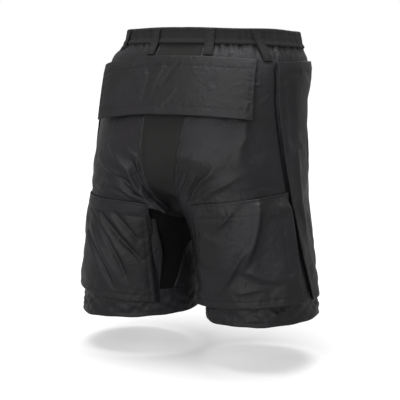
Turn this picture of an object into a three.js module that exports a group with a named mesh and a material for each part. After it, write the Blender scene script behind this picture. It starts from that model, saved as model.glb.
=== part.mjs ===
// Ice hockey pants with pad pockets, in the shape that they have when worn. Millimetres, +Z up.
// The wearer faces -Y: the seat is at +Y, the left leg at +X and the right leg at -X.
// The origin is the middle of the waist, inside the waistband.

import * as THREE from 'three';

// Cloth, seams and layers
const CLOTH = 2.0;
const BAND_CLOTH = 3.0;
const LOOP_CLOTH = 2.0;
const SEAM_GAP = 0.4;
const SIDE_SEAM_GAP = 1.0;
const FRONT_SEAM_GAP = 0.8;
const SEWN_GAP = 0.6;

// Heights of the seams, from the waist
const BAND_TOP = 15;
const BAND_BOTTOM = -10;
const PANEL_TOP = -10.8;
const CROTCH = -304;
const SEAM_END = -284;
const HEM_TOP = -442;
const HEM_BOTTOM = -490;

// The waistband's seam is higher at the back than at the front. This fades out down the seat, and the top
// edge of the waistband has only part of it.
const WAIST_TILT = 9;
const WAIST_DROP = -4;
const WAIST_TILT_FADE = 150;
const BAND_LEVEL = 0.6;

// Angles round a leg: 0 is the outside, 90 the back, -90 the front and 180 the inside.
const SIDE_SEAM = -12;
// Where the front panel ends at the hem, and the part of the way there that it goes round close to the crotch
const FRONT_WRAP = -206;
const EARLY_WRAP = 0.55;

// One row for each height: the middle of a leg's loop (legX, midY), how far the loop reaches outwards,
// inwards, backwards and forwards from it, how square it is (2 is round), how square it is beside the cleft
// of the seat, which the cloth bridges, and how far from the centre line the gusset's seams lie at the back
// and the front.
const SECTION_COLUMNS = [
  'z', 'legX', 'midY', 'outer', 'inner', 'back', 'front', 'square', 'seatSquare', 'seatEdge', 'frontEdge',
];
const SECTIONS = [
  [24, 0, -43, 162, 40, 105, 105, 2.2, 2.2, 42, 30],
  [-10, 0, -43, 163, 40, 107, 106, 2.2, 2.2, 42, 30],
  [-18, 0, -42, 166, 40, 110, 108, 2.2, 2.2, 42, 30],
  [-32, 0, -38, 175, 40, 117, 112, 2.2, 2.2, 42, 30],
  [-60, 0, -30, 185, 40, 124, 117, 2.2, 2.2, 41, 30],
  [-110, 8, -14, 180, 40, 130, 120, 2.2, 2.4, 40, 28],
  [-160, 28, -4, 164, 44, 134, 121, 2.2, 3.2, 37, 26],
  [-215, 62, 0, 133, 62, 136, 120, 2.2, 4.6, 31, 23],
  [-265, 89, 2, 109, 81, 131, 118, 2.15, 4.6, 18, 20],
  [-284, 97, 3, 102, 89, 128, 116, 2.13, 3.8, 15, 19],
  [-302, 102, 4, 100, 93, 125, 115, 2.1, 3.0, 28, 32],
  [-380, 117, 6, 95, 103, 114, 107, 2.05, 2.2, 35, 43],
  [-455, 127, 8, 98, 112, 105, 102, 2.0, 2.0, 41, 47],
  [-510, 131, 9, 104, 114, 105, 102, 2.0, 2.0, 43, 49],
];

// The garment hangs a little lower on the left leg than on the right one, by this slope at the hem,
// and its crotch sags.
const HANG_SLOPE = 0.055;
const CROTCH_SAG = 12;
const SAG_REACH = 30;

// Pad pockets: the angles of their edges, and how far they stand off the panel below at the top, the middle
// and the bottom. The thigh pockets' outer ends and the hip pockets' upper front corners are raised, and the
// hip pockets' lower back corners cut away.
const THIGH_POCKET = {
  top: -280, outerTop: 17.5, outerBottom: 19.5, offTop: 2.0, offMiddle: 3.5, offBottom: 4.0,
  left: { bottom: -464, innerTop: 130, innerBottom: 138, riseTop: 10, riseBottom: 30 },
  right: { bottom: -458, innerTop: 116, innerBottom: 137, riseTop: 17, riseBottom: 4 },
};
const HIP_POCKET = {
  top: -42, bottom: -458, frontRise: 9, backTop: 28, backLow: 4, backCut: 4, frontTop: -50, frontBottom: -52,
  offTop: 3.0, offMiddle: 0.8, offBottom: 2.5,
};
const BACK_POCKET = {
  top: -34.5, bottom: -129, offBottom: 5.5,
  left: { halfTop: 146, halfBottom: 138, dropTop: 20, dropBottom: 15, endOffTop: 17, endOffBottom: 4 },
  right: { halfTop: 136, halfBottom: 146, dropTop: 6, dropBottom: 10, endOffTop: 4, endOffBottom: 4 },
};

// Belt loops: the angle of each one's lower end on its own side, how far it leans backwards, the width of its
// tape and the height of its lower end
const LOOP_COLUMNS = ['name', 'angle', 'lean', 'width', 'bottom'];
const BELT_LOOPS = [
  ['belt_loop_back', 73, 0, 15, -32],
  ['belt_loop_side', 34, 8, 18, -40],
];
const LOOP_SLACK = 2.2;

// Gathers below the waistband, beside its flat middles at the back and the front and sewn flat under a loop
const GATHER_COUNT = 15;
const GATHER_HEIGHT = 2.8;
const GATHER_REACH = 8;
const GATHER_FLAT_X = 58;
const GATHER_LOOP_REACH = 8;
const BAND_GATHER = 0.35;

// Facets: rows of the back and front panels above and below the end of the gusset's seams, and round the
// crotch
const BACK_ROWS = 15;
const FRONT_ROWS = 10;
const LEG_ROWS = 9;
const CROTCH_ROWS = 8;

// Folds, one row each: the piece and side, the ends of the fold as shares of the piece's width and height,
// its half width and its height.
const FOLD_COLUMNS = ['piece', 'side', 'fromU', 'fromV', 'toU', 'toV', 'width', 'height'];
const FOLDS = [
  ['seat', 'left', 0.03, 0.62, 0.28, 0.40, 16, 8],
  ['seat', 'left', 0.02, 0.56, 0.12, 0.41, 12, 4],
  ['seat', 'left', 0.08, 0.61, 0.42, 0.49, 12, 7],
  ['seat', 'left', 0.24, 0.51, 0.48, 0.43, 11, 4],
  ['seat', 'right', 0.18, 0.60, 0.38, 0.43, 12, 6],
  ['seat', 'right', 0.28, 0.58, 0.56, 0.46, 12, 5],
  ['seat', 'right', 0.40, 0.27, 0.59, 0.50, 18, 6],
  ['seat', 'right', 0.56, 0.43, 0.77, 0.53, 14, 4],
  ['thigh', 'left', 0.66, 0.14, 0.19, 0.90, 15, 5],
  ['thigh', 'left', 0.48, 0.10, 0.08, 0.52, 13, 4],
  ['thigh', 'left', 0.76, 0.28, 0.32, 0.94, 13, 5],
  ['thigh', 'right', 0.92, 0.14, 0.56, 0.78, 17, 5],
  ['thigh', 'right', 0.68, 0.18, 0.22, 0.92, 14, 5],
];

const DEGREES = Math.PI / 180;

const { clamp, lerp, smoothstep } = THREE.MathUtils;

// Rows of a table as objects with the columns' names
const named = (columns, rows) => rows.map(
  (row) => Object.fromEntries(columns.map((name, i) => [name, row[i]])),
);
const folds = named(FOLD_COLUMNS, FOLDS);
const loops = named(LOOP_COLUMNS, BELT_LOOPS);

// Columns of the section table at a height, on smooth curves through its rows
const sectionCurve = new THREE.CubicInterpolant(
  SECTIONS.map((row) => -row[0]),
  SECTIONS.flatMap((row) => row.slice(1)),
  SECTION_COLUMNS.length - 1,
);

function sectionAt(z) {
  const values = sectionCurve.evaluate(-z);
  return Object.fromEntries(SECTION_COLUMNS.slice(1).map((name, i) => [name, values[i]]));
}

// Point on the left leg's loop at a height and an angle. Above the crotch only its outer part is used.
function loopPoint(z, angle) {
  const section = sectionAt(z);
  const cos = Math.cos(angle * DEGREES);
  const sin = Math.sin(angle * DEGREES);
  const reachX = cos > 0 ? section.outer : section.inner;
  const reachY = sin > 0 ? section.back : section.front;
  const shareX = Math.abs(cos) ** (2 / section.square);
  const square = cos < 0 && sin > 0 ? section.seatSquare : section.square;
  const shareY = Math.max(0, 1 - shareX ** square) ** (1 / square);
  const x = section.legX + reachX * Math.sign(cos) * shareX;
  const y = section.midY + reachY * Math.sign(sin) * shareY;
  const level = 1 - BAND_LEVEL * smoothstep(z, BAND_BOTTOM, BAND_TOP);
  const tilt = (WAIST_DROP + WAIST_TILT * sin) * level * smoothstep(z, -WAIST_TILT_FADE, 0);
  return new THREE.Vector3(x, y, z + tilt);
}

// Angle where the loop is a given distance from the centre line
function angleAtX(z, x) {
  const { legX, outer, inner, square } = sectionAt(z);
  const share = x > legX ? (x - legX) / outer : (legX - x) / inner;
  const fromSide = Math.acos(Math.min(1, share ** (square / 2))) / DEGREES;
  return x > legX ? fromSide : 180 - fromSide;
}

const seatEdgeAngle = (z) => angleAtX(z, sectionAt(z).seatEdge);

// Below the crotch the front panel reaches further and further round the inside of the leg.
function frontEdgeAngle(z) {
  const below = Math.min(1, Math.max(0, (CROTCH - z) / (CROTCH - HEM_TOP)));
  const share = EARLY_WRAP * smoothstep(below, 0, 0.52) + (1 - EARLY_WRAP) * below;
  return lerp(-angleAtX(z, sectionAt(z).frontEdge), FRONT_WRAP, share);
}

// Angle that half a seam gap takes up at a height
const gapAngle = (z, gap = SEAM_GAP) => gap / 2 / sectionAt(z).back / DEGREES;

// Height of a fold's cross-section: a ridge between two shallow valleys
function foldProfile(distance, width) {
  const d = distance / width;
  return (1 - d * d) * Math.exp(-d * d / 1.4);
}

// Sum of the folds on a piece at a point (u, v), for a piece of a given width and height
function foldHeight(piece, side, u, v, width, height) {
  let sum = 0;
  for (const fold of folds) {
    if (fold.piece !== piece || fold.side !== side) continue;
    const along = new THREE.Vector2((fold.toU - fold.fromU) * width, (fold.toV - fold.fromV) * height);
    const point = new THREE.Vector2((u - fold.fromU) * width, (v - fold.fromV) * height);
    const share = point.dot(along) / along.lengthSq();
    if (share <= 0 || share >= 1) continue;
    const distance = Math.abs(along.cross(point)) / along.length();
    sum += fold.height * foldProfile(distance, fold.width) * Math.sin(Math.PI * share);
  }
  return sum;
}

// Height of the gathers at a height and an angle below the waist
function gatherHeight(z, angle) {
  const { x } = loopPoint(z, angle);
  let height = GATHER_HEIGHT * Math.cos(GATHER_COUNT * angle * DEGREES);
  height *= smoothstep(x, GATHER_FLAT_X, GATHER_FLAT_X + 20);
  for (const loop of loops) {
    const beside = angle - loop.angle - loop.lean / 2;
    height *= 1 - Math.exp(-((beside / GATHER_LOOP_REACH) ** 2));
  }
  return height * Math.exp(Math.min(0, z - BAND_BOTTOM) / GATHER_REACH);
}

// Where a point of the even form comes to lie: the left leg hangs lower than the right one, the crotch sags
function hang(point, mirrored) {
  const x = mirrored ? -point.x : point.x;
  const slope = HANG_SLOPE * clamp(point.z / HEM_BOTTOM, 0, 1);
  const below = smoothstep(point.z, CROTCH - 76, CROTCH - 8);
  const above = 1 - smoothstep(point.z, CROTCH + 14, CROTCH + 84);
  const sag = CROTCH_SAG * below * above * Math.exp(-((x / SAG_REACH) ** 2));
  return new THREE.Vector3(x, point.y, point.z - slope * x - sag);
}

// Solid of a sheet: surface(u, v) is its outer face, with v downwards and u to the left as seen from outside,
// and the inner face lies one thickness behind it. A ring closes on itself along u. The right leg's pieces
// are worked out on the left leg and mirrored.
function sheetSolid(surface, columns, rows, thickness, { ring = false, mirrored = false } = {}) {
  const STEP = 1e-3;
  const across = ring ? columns : columns + 1;
  const outer = [];
  const inner = [];
  for (let j = 0; j <= rows; j++) {
    for (let i = 0; i < across; i++) {
      const u = i / columns;
      const v = j / rows;
      const [u0, u1] = ring ? [u - STEP, u + STEP] : [Math.max(0, u - STEP), Math.min(1, u + STEP)];
      const [v0, v1] = [Math.max(0, v - STEP), Math.min(1, v + STEP)];
      const alongU = surface(u1, v).sub(surface(u0, v));
      const alongV = surface(u, v1).sub(surface(u, v0));
      const normal = alongU.cross(alongV).normalize();
      const point = surface(u, v);
      outer.push(hang(point, mirrored));
      inner.push(hang(point.clone().addScaledVector(normal, -thickness), mirrored));
    }
  }

  const index = [];
  const behind = outer.length;
  const quad = (a, b, c, d) => (mirrored ? index.push(a, c, b, a, d, c) : index.push(a, b, c, a, c, d));
  const at = (i, j) => j * across + (i % across);
  for (let j = 0; j < rows; j++) {
    for (let i = 0; i < columns; i++) {
      const [a, b, c, d] = [at(i, j), at(i, j + 1), at(i + 1, j + 1), at(i + 1, j)];
      quad(a, d, c, b);
      quad(behind + a, behind + b, behind + c, behind + d);
    }
  }
  const wall = (a, b) => quad(a, b, behind + b, behind + a);
  for (let i = 0; i < columns; i++) {
    wall(at(i + 1, 0), at(i, 0));
    wall(at(i, rows), at(i + 1, rows));
  }
  if (!ring) {
    for (let j = 0; j < rows; j++) {
      wall(at(0, j), at(0, j + 1));
      wall(at(columns, j + 1), at(columns, j));
    }
  }

  const geometry = new THREE.BufferGeometry().setFromPoints([...outer, ...inner]);
  geometry.setIndex(index);
  geometry.computeVertexNormals();
  return geometry;
}

// Outward normal of the left leg's loop at a height and an angle
function loopNormal(z, angle) {
  const STEP = 0.2;
  const alongAngle = loopPoint(z, angle - STEP).sub(loopPoint(z, angle + STEP));
  const down = loopPoint(z - STEP, angle).sub(loopPoint(z + STEP, angle));
  return alongAngle.cross(down).normalize();
}

const offLoop = (z, angle, off) => loopPoint(z, angle).addScaledVector(loopNormal(z, angle), off);

// Height at a share v of the way down a panel that has a given number of rows beside the gusset
function panelHeight(v, rows) {
  const seamShare = rows / (rows + LEG_ROWS);
  if (v < seamShare) return lerp(PANEL_TOP, SEAM_END, v / seamShare);
  return lerp(SEAM_END, HEM_TOP + SEAM_GAP, (v - seamShare) / (1 - seamShare));
}

// Back half of a side, from the gusset or the inside leg to the side seam
function seatPanel(side, mirrored) {
  const WIDTH = 250;
  const HEIGHT = BAND_BOTTOM - HEM_TOP;
  const EDGE_FADE = 0.06;
  const surface = (u, v) => {
    const z = panelHeight(v, BACK_ROWS);
    const angle = lerp(seatEdgeAngle(z) - gapAngle(z), SIDE_SEAM + gapAngle(z, SIDE_SEAM_GAP), u);
    const aboveThigh = smoothstep(z, THIGH_POCKET.top + 4, THIGH_POCKET.top + 30);
    const behindHip = smoothstep(angle, HIP_POCKET.backTop, HIP_POCKET.backTop + 12);
    const shown = aboveThigh * behindHip * smoothstep(u, 0, EDGE_FADE);
    const fold = foldHeight('seat', side, u, v, WIDTH, HEIGHT) * shown;
    return offLoop(z, angle, gatherHeight(z, angle) + fold);
  };
  return sheetSolid(surface, 15, BACK_ROWS + LEG_ROWS, CLOTH, { mirrored });
}

// Front half of a side, from the side seam to the centre strip or the inside leg
function frontPanel(side, mirrored) {
  const surface = (u, v) => {
    const z = panelHeight(v, FRONT_ROWS);
    const gap = gapAngle(z, SIDE_SEAM_GAP);
    const angle = lerp(SIDE_SEAM - gap, frontEdgeAngle(z) + gap, u);
    return offLoop(z, angle, gatherHeight(z, angle));
  };
  return sheetSolid(surface, 10, FRONT_ROWS + LEG_ROWS, CLOTH, { mirrored });
}

// Height of the inside leg panel's top edge, at a share of the way from its back seam to its front seam
const crotchEdge = (share) => lerp(CROTCH, SEAM_END, Math.abs(2 * share - 1) ** 3);

// Angle on the inside of the leg, at a height and a share of the way from the back seam to the front seam
function insideAngle(z, share) {
  return lerp(seatEdgeAngle(z) + gapAngle(z), 360 + frontEdgeAngle(z) - gapAngle(z, FRONT_SEAM_GAP), share);
}

function insidePanel(side, mirrored) {
  const surface = (u, v) => {
    const z = lerp(crotchEdge(1 - u) - SEAM_GAP, HEM_TOP + SEAM_GAP, v);
    return loopPoint(z, insideAngle(z, 1 - u));
  };
  return sheetSolid(surface, CROTCH_ROWS, LEG_ROWS, CLOTH, { mirrored });
}

// Knit strip down the middle of the seat, under the crotch and up the front. Its seams are the edges of the
// panels on both sides.
function gusset() {
  const ROWS = BACK_ROWS + CROTCH_ROWS + FRONT_ROWS;
  const BACK_SHARE = BACK_ROWS / ROWS;
  const FRONT_SHARE = 1 - FRONT_ROWS / ROWS;
  const edgePoint = (v) => {
    if (v < BACK_SHARE) {
      const z = lerp(PANEL_TOP, SEAM_END, v / BACK_SHARE);
      return loopPoint(z, seatEdgeAngle(z));
    }
    if (v > FRONT_SHARE) {
      const z = lerp(SEAM_END, PANEL_TOP, (v - FRONT_SHARE) / (1 - FRONT_SHARE));
      return loopPoint(z, frontEdgeAngle(z));
    }
    const share = (v - BACK_SHARE) / (FRONT_SHARE - BACK_SHARE);
    const z = crotchEdge(share);
    return loopPoint(z, insideAngle(z, share));
  };
  const surface = (u, v) => {
    const edge = edgePoint(v);
    const half = edge.x - SEAM_GAP;
    return new THREE.Vector3(lerp(-half, half, u), edge.y, edge.z);
  };
  return sheetSolid(surface, 4, ROWS, CLOTH);
}

// Stand-off of a pocket at a share of the way down it
function standOff({ offTop, offMiddle, offBottom }, v) {
  const straight = lerp(offTop, offBottom, v);
  const bow = offMiddle - (offTop + offBottom) / 2;
  return straight + bow * Math.sin(Math.PI * v);
}

// Stand-off left at a pocket's sewn side edges, as a share of the full one
function sewnEdge(u, reach) {
  return smoothstep(u, 0, reach) * smoothstep(1 - u, 0, reach);
}

// Pocket over the back of the thigh, from beside the inside leg to just behind the hip pocket
function thighPocket(side, mirrored) {
  const WIDTH = 205;
  const SEWN_REACH = 0.16;
  const { top, outerTop, outerBottom } = THIGH_POCKET;
  const { bottom, innerTop, innerBottom, riseTop, riseBottom } = THIGH_POCKET[side];
  const surface = (u, v) => {
    const z = lerp(top, bottom, v) + lerp(riseTop, riseBottom, v) * u;
    const angle = lerp(lerp(innerTop, innerBottom, v), lerp(outerTop, outerBottom, v), u);
    const fold = foldHeight('thigh', side, u, v, WIDTH, top - bottom);
    const off = Math.max(0, standOff(THIGH_POCKET, v) + fold) * sewnEdge(u, SEWN_REACH);
    return offLoop(z, angle, SEWN_GAP + CLOTH + off);
  };
  return sheetSolid(surface, 12, 12, CLOTH, { mirrored });
}

// Pocket down the outside of the hip and the thigh
function hipPocket(side, mirrored) {
  const SEWN_REACH = 0.3;
  const CUT_POWER = 6;
  const { top, bottom, frontRise, backTop, backLow, backCut, frontTop, frontBottom } = HIP_POCKET;
  const surface = (u, v) => {
    const z = lerp(top, bottom, v) + frontRise * u * u * (1 - v);
    const back = lerp(backTop, backLow, v) - backCut * v ** CUT_POWER;
    const angle = lerp(back, lerp(frontTop, frontBottom, v), u);
    const off = standOff(HIP_POCKET, v) * sewnEdge(u, SEWN_REACH);
    return offLoop(z, angle, SEWN_GAP + CLOTH + off);
  };
  return sheetSolid(surface, 8, 21, CLOTH, { mirrored });
}

// Wide pocket across the small of the back, sewn on along the middle of its top edge. It is stiff: it bridges
// the hollow between the seat panels, its lower edge is arched and its ends stand away from the hips.
function backPocket() {
  const END_START = 0.62;
  const DROP_POWER = 2.5;
  const { top, bottom, offBottom } = BACK_POCKET;
  const surface = (u, v) => {
    const across = 2 * u - 1;
    const end = Math.abs(across);
    const side = across > 0 ? BACK_POCKET.left : BACK_POCKET.right;
    const z = lerp(top, bottom, v) - lerp(side.dropTop, side.dropBottom, v) * end ** DROP_POWER;
    const x = lerp(side.halfTop, side.halfBottom, v) * end;
    const endOff = lerp(side.endOffTop, side.endOffBottom, v);
    const { legX } = sectionAt(z);
    const off = offBottom * v + endOff * smoothstep(end, END_START, 1);
    const point = offLoop(z, x > legX ? angleAtX(z, x) : 90, SEWN_GAP + CLOTH + off);
    point.x = (x > legX ? point.x : x) * (Math.sign(across) || 1);
    return point;
  };
  return sheetSolid(surface, 22, 6, CLOTH);
}

// Elastic waistband, gathered outside the flat middle of the back
function waistband() {
  const HALF_TURN = 0.5;
  const surface = (u, v) => {
    const turn = ((u % 1) + 1) % 1;
    const isLeft = turn < HALF_TURN;
    const angle = isLeft ? lerp(90, -90, turn / HALF_TURN) : lerp(-90, 90, (turn - HALF_TURN) / HALF_TURN);
    const z = lerp(BAND_TOP, BAND_BOTTOM, v);
    const point = offLoop(z, angle, gatherHeight(z, angle) * BAND_GATHER);
    point.x *= isLeft ? 1 : -1;
    return point;
  };
  return sheetSolid(surface, 88, 1, BAND_CLOTH, { ring: true });
}

// Belt loop: a tape sewn down at its two ends and lying nearly flat on the waistband
function beltLoop({ angle, lean, width, bottom }, mirrored) {
  const TOP = BAND_TOP - 1;
  const surface = (u, v) => {
    const z = lerp(TOP, bottom, v);
    const turn = (width / 2) * (1 - 2 * u) / sectionAt(z).outer / DEGREES;
    const middle = angle + lean * (1 - v);
    return offLoop(z, middle + turn, LOOP_CLOTH + SEWN_GAP + LOOP_SLACK * Math.sin(Math.PI * v));
  };
  return sheetSolid(surface, 2, 6, LOOP_CLOTH, { mirrored });
}

// Hem band round the bottom of a leg
function legHem(side, mirrored) {
  const surface = (u, v) => loopPoint(lerp(HEM_TOP, HEM_BOTTOM, v), -360 * u);
  return sheetSolid(surface, 36, 2, CLOTH, { ring: true, mirrored });
}

const nylon = new THREE.MeshStandardMaterial({ color: 0x2c2c2e, roughness: 0.5, metalness: 0 });
const knit = new THREE.MeshStandardMaterial({ color: 0x222322, roughness: 0.9, metalness: 0 });
const tape = new THREE.MeshStandardMaterial({ color: 0x242424, roughness: 0.8, metalness: 0 });

const pants = new THREE.Group();

function addMesh(name, geometry, material) {
  const mesh = new THREE.Mesh(geometry, material);
  mesh.name = name;
  pants.add(mesh);
}

function addPair(name, makeGeometry, material) {
  addMesh(`${name}_left`, makeGeometry('left', false), material);
  addMesh(`${name}_right`, makeGeometry('right', true), material);
}

addMesh('waistband', waistband(), tape);
for (const loop of loops) {
  addPair(loop.name, (side, mirrored) => beltLoop(loop, mirrored), tape);
}
addMesh('gusset', gusset(), knit);
addPair('seat_panel', seatPanel, nylon);
addPair('front_panel', frontPanel, nylon);
addPair('inside_leg', insidePanel, knit);
addPair('thigh_pocket', thighPocket, nylon);
addPair('hip_pocket', hipPocket, nylon);
addMesh('back_pocket', backPocket(), nylon);
addPair('leg_hem', legHem, nylon);

export default pants;
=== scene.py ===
"""Ice hockey pants with pad pockets: cloth panels with their folds, seams, stitching and finishes."""

import bpy
import numpy as np
from bpy.props import FloatProperty, FloatVectorProperty, PointerProperty
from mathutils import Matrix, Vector


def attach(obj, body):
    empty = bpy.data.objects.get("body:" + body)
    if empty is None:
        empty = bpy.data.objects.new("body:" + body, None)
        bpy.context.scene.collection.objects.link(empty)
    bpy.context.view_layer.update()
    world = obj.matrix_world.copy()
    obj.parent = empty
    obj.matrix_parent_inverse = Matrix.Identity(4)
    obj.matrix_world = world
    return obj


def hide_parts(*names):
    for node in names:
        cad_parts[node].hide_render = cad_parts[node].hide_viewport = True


bl_info = {
    "name": "Ice Hockey Pants",
    "version": (1, 0, 0),
    "blender": (4, 5, 0),
    "location": "View3D > Sidebar > Hockey Pants",
    "description": "Cloth panels, pad pockets, waistband and stitching of a pair of ice hockey pants",
    "category": "Object",
}

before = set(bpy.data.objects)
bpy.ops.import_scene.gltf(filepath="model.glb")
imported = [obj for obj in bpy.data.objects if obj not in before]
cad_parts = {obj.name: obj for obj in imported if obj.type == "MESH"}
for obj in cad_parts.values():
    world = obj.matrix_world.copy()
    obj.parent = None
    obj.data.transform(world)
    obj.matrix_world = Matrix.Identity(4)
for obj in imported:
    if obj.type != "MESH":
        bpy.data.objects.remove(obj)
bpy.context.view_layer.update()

# The form of the pants, in millimetres, as the solids have it. The wearer faces -Y, the left leg is at +X and
# the origin is the middle of the waist. Angles go round a leg: 0 is its outside, 90 the back, 180 the inside.
MM = 0.001
SEAM_GAP = 0.4
SIDE_SEAM_GAP = 1.0
FRONT_SEAM_GAP = 0.8
SEWN_GAP = 0.6
BAND_TOP = 15
BAND_BOTTOM = -10
PANEL_TOP = -10.8
CROTCH = -304
SEAM_END = -284
HEM_TOP = -442
HEM_BOTTOM = -490
WAIST_TILT = 9
WAIST_DROP = -4
WAIST_TILT_FADE = 150
BAND_LEVEL = 0.6
SIDE_SEAM = -12
FRONT_WRAP = -206
EARLY_WRAP = 0.55
EARLY_WRAP_END = 0.52
HANG_SLOPE = 0.055
CROTCH_SAG = 12
SAG_REACH = 30
SAG_BOTTOM = (CROTCH - 76, CROTCH - 8)
SAG_TOP = (CROTCH + 84, CROTCH + 14)
# Shares of the seat and front panels' heights that lie beside the gusset
SEAT_SEAM_SHARE = 15 / 24
FRONT_SEAM_SHARE = 10 / 19

# One row for each height: the middle of a leg's loop, how far the loop reaches from it outwards, inwards,
# backwards and forwards, how square it is, how square it is beside the cleft of the seat, which the cloth bridges,
# and how far the gusset's seams lie from the centre line at the back and the front.
SECTION_COLUMNS = (
    "z", "leg_x", "mid_y", "outer", "inner", "back", "front", "square", "seat_square", "seat_edge", "front_edge",
)
SECTIONS = np.array([
    (24, 0, -43, 162, 40, 105, 105, 2.2, 2.2, 42, 30),
    (-10, 0, -43, 163, 40, 107, 106, 2.2, 2.2, 42, 30),
    (-18, 0, -42, 166, 40, 110, 108, 2.2, 2.2, 42, 30),
    (-32, 0, -38, 175, 40, 117, 112, 2.2, 2.2, 42, 30),
    (-60, 0, -30, 185, 40, 124, 117, 2.2, 2.2, 41, 30),
    (-110, 8, -14, 180, 40, 130, 120, 2.2, 2.4, 40, 28),
    (-160, 28, -4, 164, 44, 134, 121, 2.2, 3.2, 37, 26),
    (-215, 62, 0, 133, 62, 136, 120, 2.2, 4.6, 31, 23),
    (-265, 89, 2, 109, 81, 131, 118, 2.15, 4.6, 18, 20),
    (-284, 97, 3, 102, 89, 128, 116, 2.13, 3.8, 15, 19),
    (-302, 102, 4, 100, 93, 125, 115, 2.1, 3.0, 28, 32),
    (-380, 117, 6, 95, 103, 114, 107, 2.05, 2.2, 35, 43),
    (-455, 127, 8, 98, 112, 105, 102, 2.0, 2.0, 41, 47),
    (-510, 131, 9, 104, 114, 105, 102, 2.0, 2.0, 43, 49),
], float)
# How far the worn gusset is drawn to the wearer's left, and the heights over which that begins and ends
GUSSET_PULL = 7.5
GUSSET_PULL_TOP = (-105, -200)
GUSSET_PULL_BOTTOM = (-282, -245)
# How far the gusset reaches under the seat panels beside the crotch, as a share of its width
GUSSET_UNDERLAP = 0.45
# Where the cloth stands off the even form: how far, the angle where it does so most, its spread round the leg and
# the heights over which it begins and ends. The hip and the inside of the leg do so on the left alone.
WAIST_FULLNESS = {"left": (3, 29), "right": (7, -25), "spread": 34, "bottom": (-75, -25)}
HIP_FULLNESS = {"height": 7, "middle": 30, "spread": 28, "top": (-12, -40), "bottom": (-160, -70)}
LEG_FULLNESS = {"height": 9, "middle": 190, "spread": 34, "top": (-350, -430)}
# How far the right hem is drawn in below the thigh pocket's inner corner
HEM_DRAWN_IN = 13
# How far the knit inside the legs reaches up under the seat panels
INSIDE_UNDERLAP = 36
# How far the hem bands reach up under the panels, and how far inside them
HEM_UNDERLAP = 5
HEM_TUCK = 2.2
# How the left seat panel's inner edge is drawn over the gusset to the crotch: the height on the even form, and the
# moves sideways and upwards, in millimetres
CROTCH_DRAG = np.array([
    (-266, 0, 0), (-276, -5, 0), (-280, -10, -1), (-284, -15, -4), (-288, -8, 4), (-292, -1, 10), (-297, 3, 15),
    (-304, 3, 17), (-316, 1, 12), (-330, -3, 5), (-350, -6, 0), (-380, -5, 0), (-430, 0, 0),
], float)
# How far the edge goes backwards with a full move over the gusset, and the share of the panel that comes along
DRAG_BACKWARDS = 5
DRAG_FULL = 20
DRAG_REACH = 0.22

THIGH_POCKET = {
    "top": -280, "outer": (17.5, 19.5), "off": (0.8, 5.0, 8.0),
    "left": {"bottom": -464, "inner": (132, 140), "rise": (10, 30), "board": 0},
    "right": {"bottom": -458, "inner": (116, 137), "rise": (17, 4), "board": 12},
}
HIP_POCKET = {
    "top": -42, "bottom": -458, "front_rise": 9, "back_drop": {"left": 9, "right": 0},
    "back": (28, 4), "cut": 4, "front": (-50, -52), "off": (3.0, 0.8, 2.5),
}
BACK_POCKET = {
    "top": -34.5, "bottom": -129, "off": 5.5,
    "left": {"half": (152, 141), "drop": (20, 15), "end_off": (16, 7)},
    "right": {"half": (136, 146), "drop": (6, 10), "end_off": (4, 4)},
}
BELT_LOOPS = {
    "belt_loop_back": {"angle": 73, "lean": 0, "width": 15, "bottom": -32},
    "belt_loop_side": {"angle": 34, "lean": 8, "width": 18, "bottom": -40},
}
LOOP_SLACK = 3.0
LOOP_CLOTH = 1.8
# Gathers below the waistband: the angle from one to the next, their height, and how they fade downwards, towards
# the middles and beside the belt loops
GATHER_TURN = 8.6
GATHER_HEIGHT = 3.0
GATHER_REACH = 12
GATHER_FLAT_X = 48
GATHER_FLAT_FADE = 20
GATHER_LOOP_REACH = 4.5
# How full and how sharp their crests are, and the waves round the waist that shift them, make them uneven and lay
# smaller ones between: height and count
GATHER_FULL = 1.5
GATHER_SHARP = 0.7
GATHER_SHIFT = (0.8, 11)
GATHER_UNEVEN = (0.4, 17)
SMALL_GATHERS = (0.4 * GATHER_HEIGHT, 67)
SMALL_GATHER_SHIFT = (50, 13)
# The waistband: the share of the gathers that it takes up, how far its top rolls in at the sides, how far its lower
# edge stands out, and how far it laps over the panels
BAND_GATHER = 0.35
BAND_ROLL = 5.5
BAND_LIP = 2.8
BAND_OVERLAP = 3

# Width and height of each piece as cut, in millimetres, for placing folds and seams on it
PIECE_SIZE = {
    "seat": (250, 432), "front": (205, 432), "inside": (150, 150), "gusset": (80, 640), "thigh": (205, 190),
    "hip": (170, 417), "back": (290, 96), "hem": (640, 53), "band": (880, 28), "loop": (16, 52),
}
# Step of each piece's mesh, in millimetres
MESH_STEP = {
    "seat": 2.4, "front": 2.8, "inside": 2.5, "gusset": 2.5, "thigh": 1.9, "hip": 2.4, "back": 1.9, "hem": 2.2,
    "band": 2, "loop": 0.9,
}

# Rounding of a fold's crest, as a share of its half width, the depth of the valleys beside it, how fast it fades
# across, the shares of its length over which it begins and ends, and the points that its path is drawn with
FOLD_CREST = 0.35
FOLD_VALLEY = 1.1
FOLD_DECAY = 1.25
FOLD_START = (0, 0.2)
FOLD_END = (0.55, 1)
FOLD_POINTS = 13
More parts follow.
